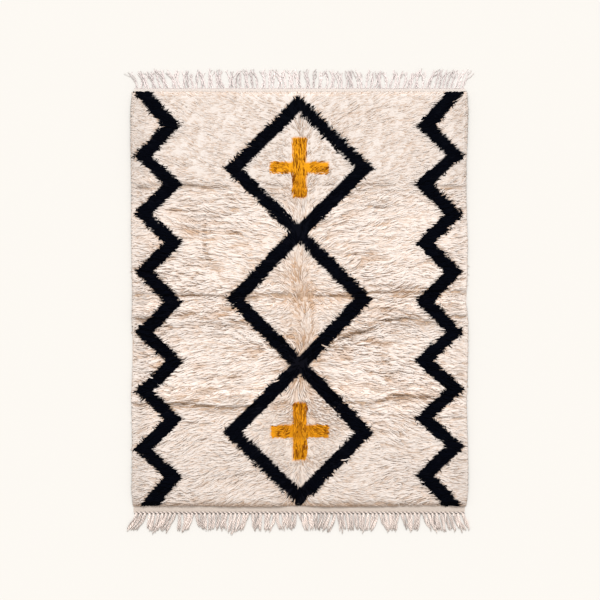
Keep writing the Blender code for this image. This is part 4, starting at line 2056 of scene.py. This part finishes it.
FRINGES = (
    Fringe(
        name="top", node="fringe_top", yarn=UPPER_YARN, side=1, seed=31, tassels=82,
        length=0.083, outer_lean=0.036, yarn_radius=0.0020, looseness=0.0026, splay=0.0050, stray=0.0070,
        end_painted_shade=0.06, gap_painted_shadow_tone=1.05, cord_radius=0.0011,
        gaps=(-0.755, -0.55, -0.50, -0.35, -0.20, -0.05, 0.30, 0.42, 0.50, 0.60),
        strands=3, rings=16, fewest_turns=1.1, opening=0.9, root_thinness=0.60, ply_pitch=0.018),
    Fringe(
        name="bottom", node="fringe_bottom", yarn=LOWER_YARN, side=-1, seed=32, tassels=77,
        length=0.0825, outer_lean=0.031, yarn_radius=0.0034, looseness=0.0048, splay=0.0022, stray=0.0028,
        end_painted_shade=0.04, gap_painted_shadow_tone=0.32, cord_radius=0.0028,
        gaps=(-0.72, -0.59, -0.50, -0.24, -0.11, -0.003, 0.17, 0.385, 0.475, 0.575),
        push=0.027, push_reach=0.045, sway=0.006),
)


# ---------------------------------------------------------------- studio


@dataclass
class Studio:
    """Pale floor, soft light from the rug's upper end, and a camera straight above."""

    floor_size: float = 40.0
    lens: float = 85.0
    sensor: float = 36.0
    view_width: float = 2.8404
    look_at: tuple[float, float] = (0.0024, 0.0024)
    look_height: float = 0.022
    farthest: float = 200.0
    sun_elevation: float = 46.0
    sun_angle: float = 20.0
    sun_power: float = 2.19
    sun_color: Color = (0.980, 0.993, 1.0)
    sky_power: float = 0.89
    sky_color: Color = (1.0, 0.970, 0.935)

    def build(self) -> None:
        """Makes the floor, the lights and the camera."""
        self._floor()
        self._light()
        self._camera()
        bpy.context.scene.view_settings.view_transform = "Standard"
        log.info("studio ready")

    def _floor(self) -> None:
        """Lays the floor."""
        start_clean()
        bpy.ops.mesh.primitive_plane_add(size=self.floor_size)
        floor = bpy.context.object
        floor.name = "studio_floor"
        floor.data.materials.append(FLOOR_PAPER.make())

    def _light(self) -> None:
        """Sets the sky and one large soft lamp high beyond the rug's upper end."""
        world = bpy.data.worlds.new("studio_sky")
        bpy.context.scene.world = world
        world.use_nodes = True
        background = world.node_tree.nodes["Background"]
        background.inputs["Color"].default_value = rgba(self.sky_color)
        background.inputs["Strength"].default_value = self.sky_power
        start_clean()
        tilt = math.radians(90.0 - self.sun_elevation)
        bpy.ops.object.light_add(type="SUN", rotation=(-tilt, 0.0, 0.0))
        sun = bpy.context.object
        sun.name = "studio_sun"
        sun.data.energy = self.sun_power
        sun.data.angle = math.radians(self.sun_angle)
        sun.data.color = self.sun_color

    def _camera(self) -> None:
        """Hangs the camera over the rug, looking straight down with the upper end at the top."""
        start_clean()
        height = self.look_height + self.view_width * self.lens / self.sensor
        bpy.ops.object.camera_add(location=(*self.look_at, height), rotation=(0.0, 0.0, 0.0))
        camera = bpy.context.object
        camera.name = "studio_camera"
        camera.data.lens = self.lens
        camera.data.sensor_width = self.sensor
        camera.data.clip_end = self.farthest
        bpy.context.scene.camera = camera


def main() -> None:
    """Builds the rug and its studio in order, and reports each piece."""
    logging.basicConfig(level=logging.INFO, format="%(message)s")
    Studio().build()
    lie, design = Lie(), Design()
    ground = GroundCloth(design).build()
    with_pieces = [Underwool(lie, design).build()]
    with_pieces += Pile(lie, design).build()
    for fringe in FRINGES:
        with_pieces += fringe.build()
    log.info("sizes written")


if __name__ == "__main__":
    main()
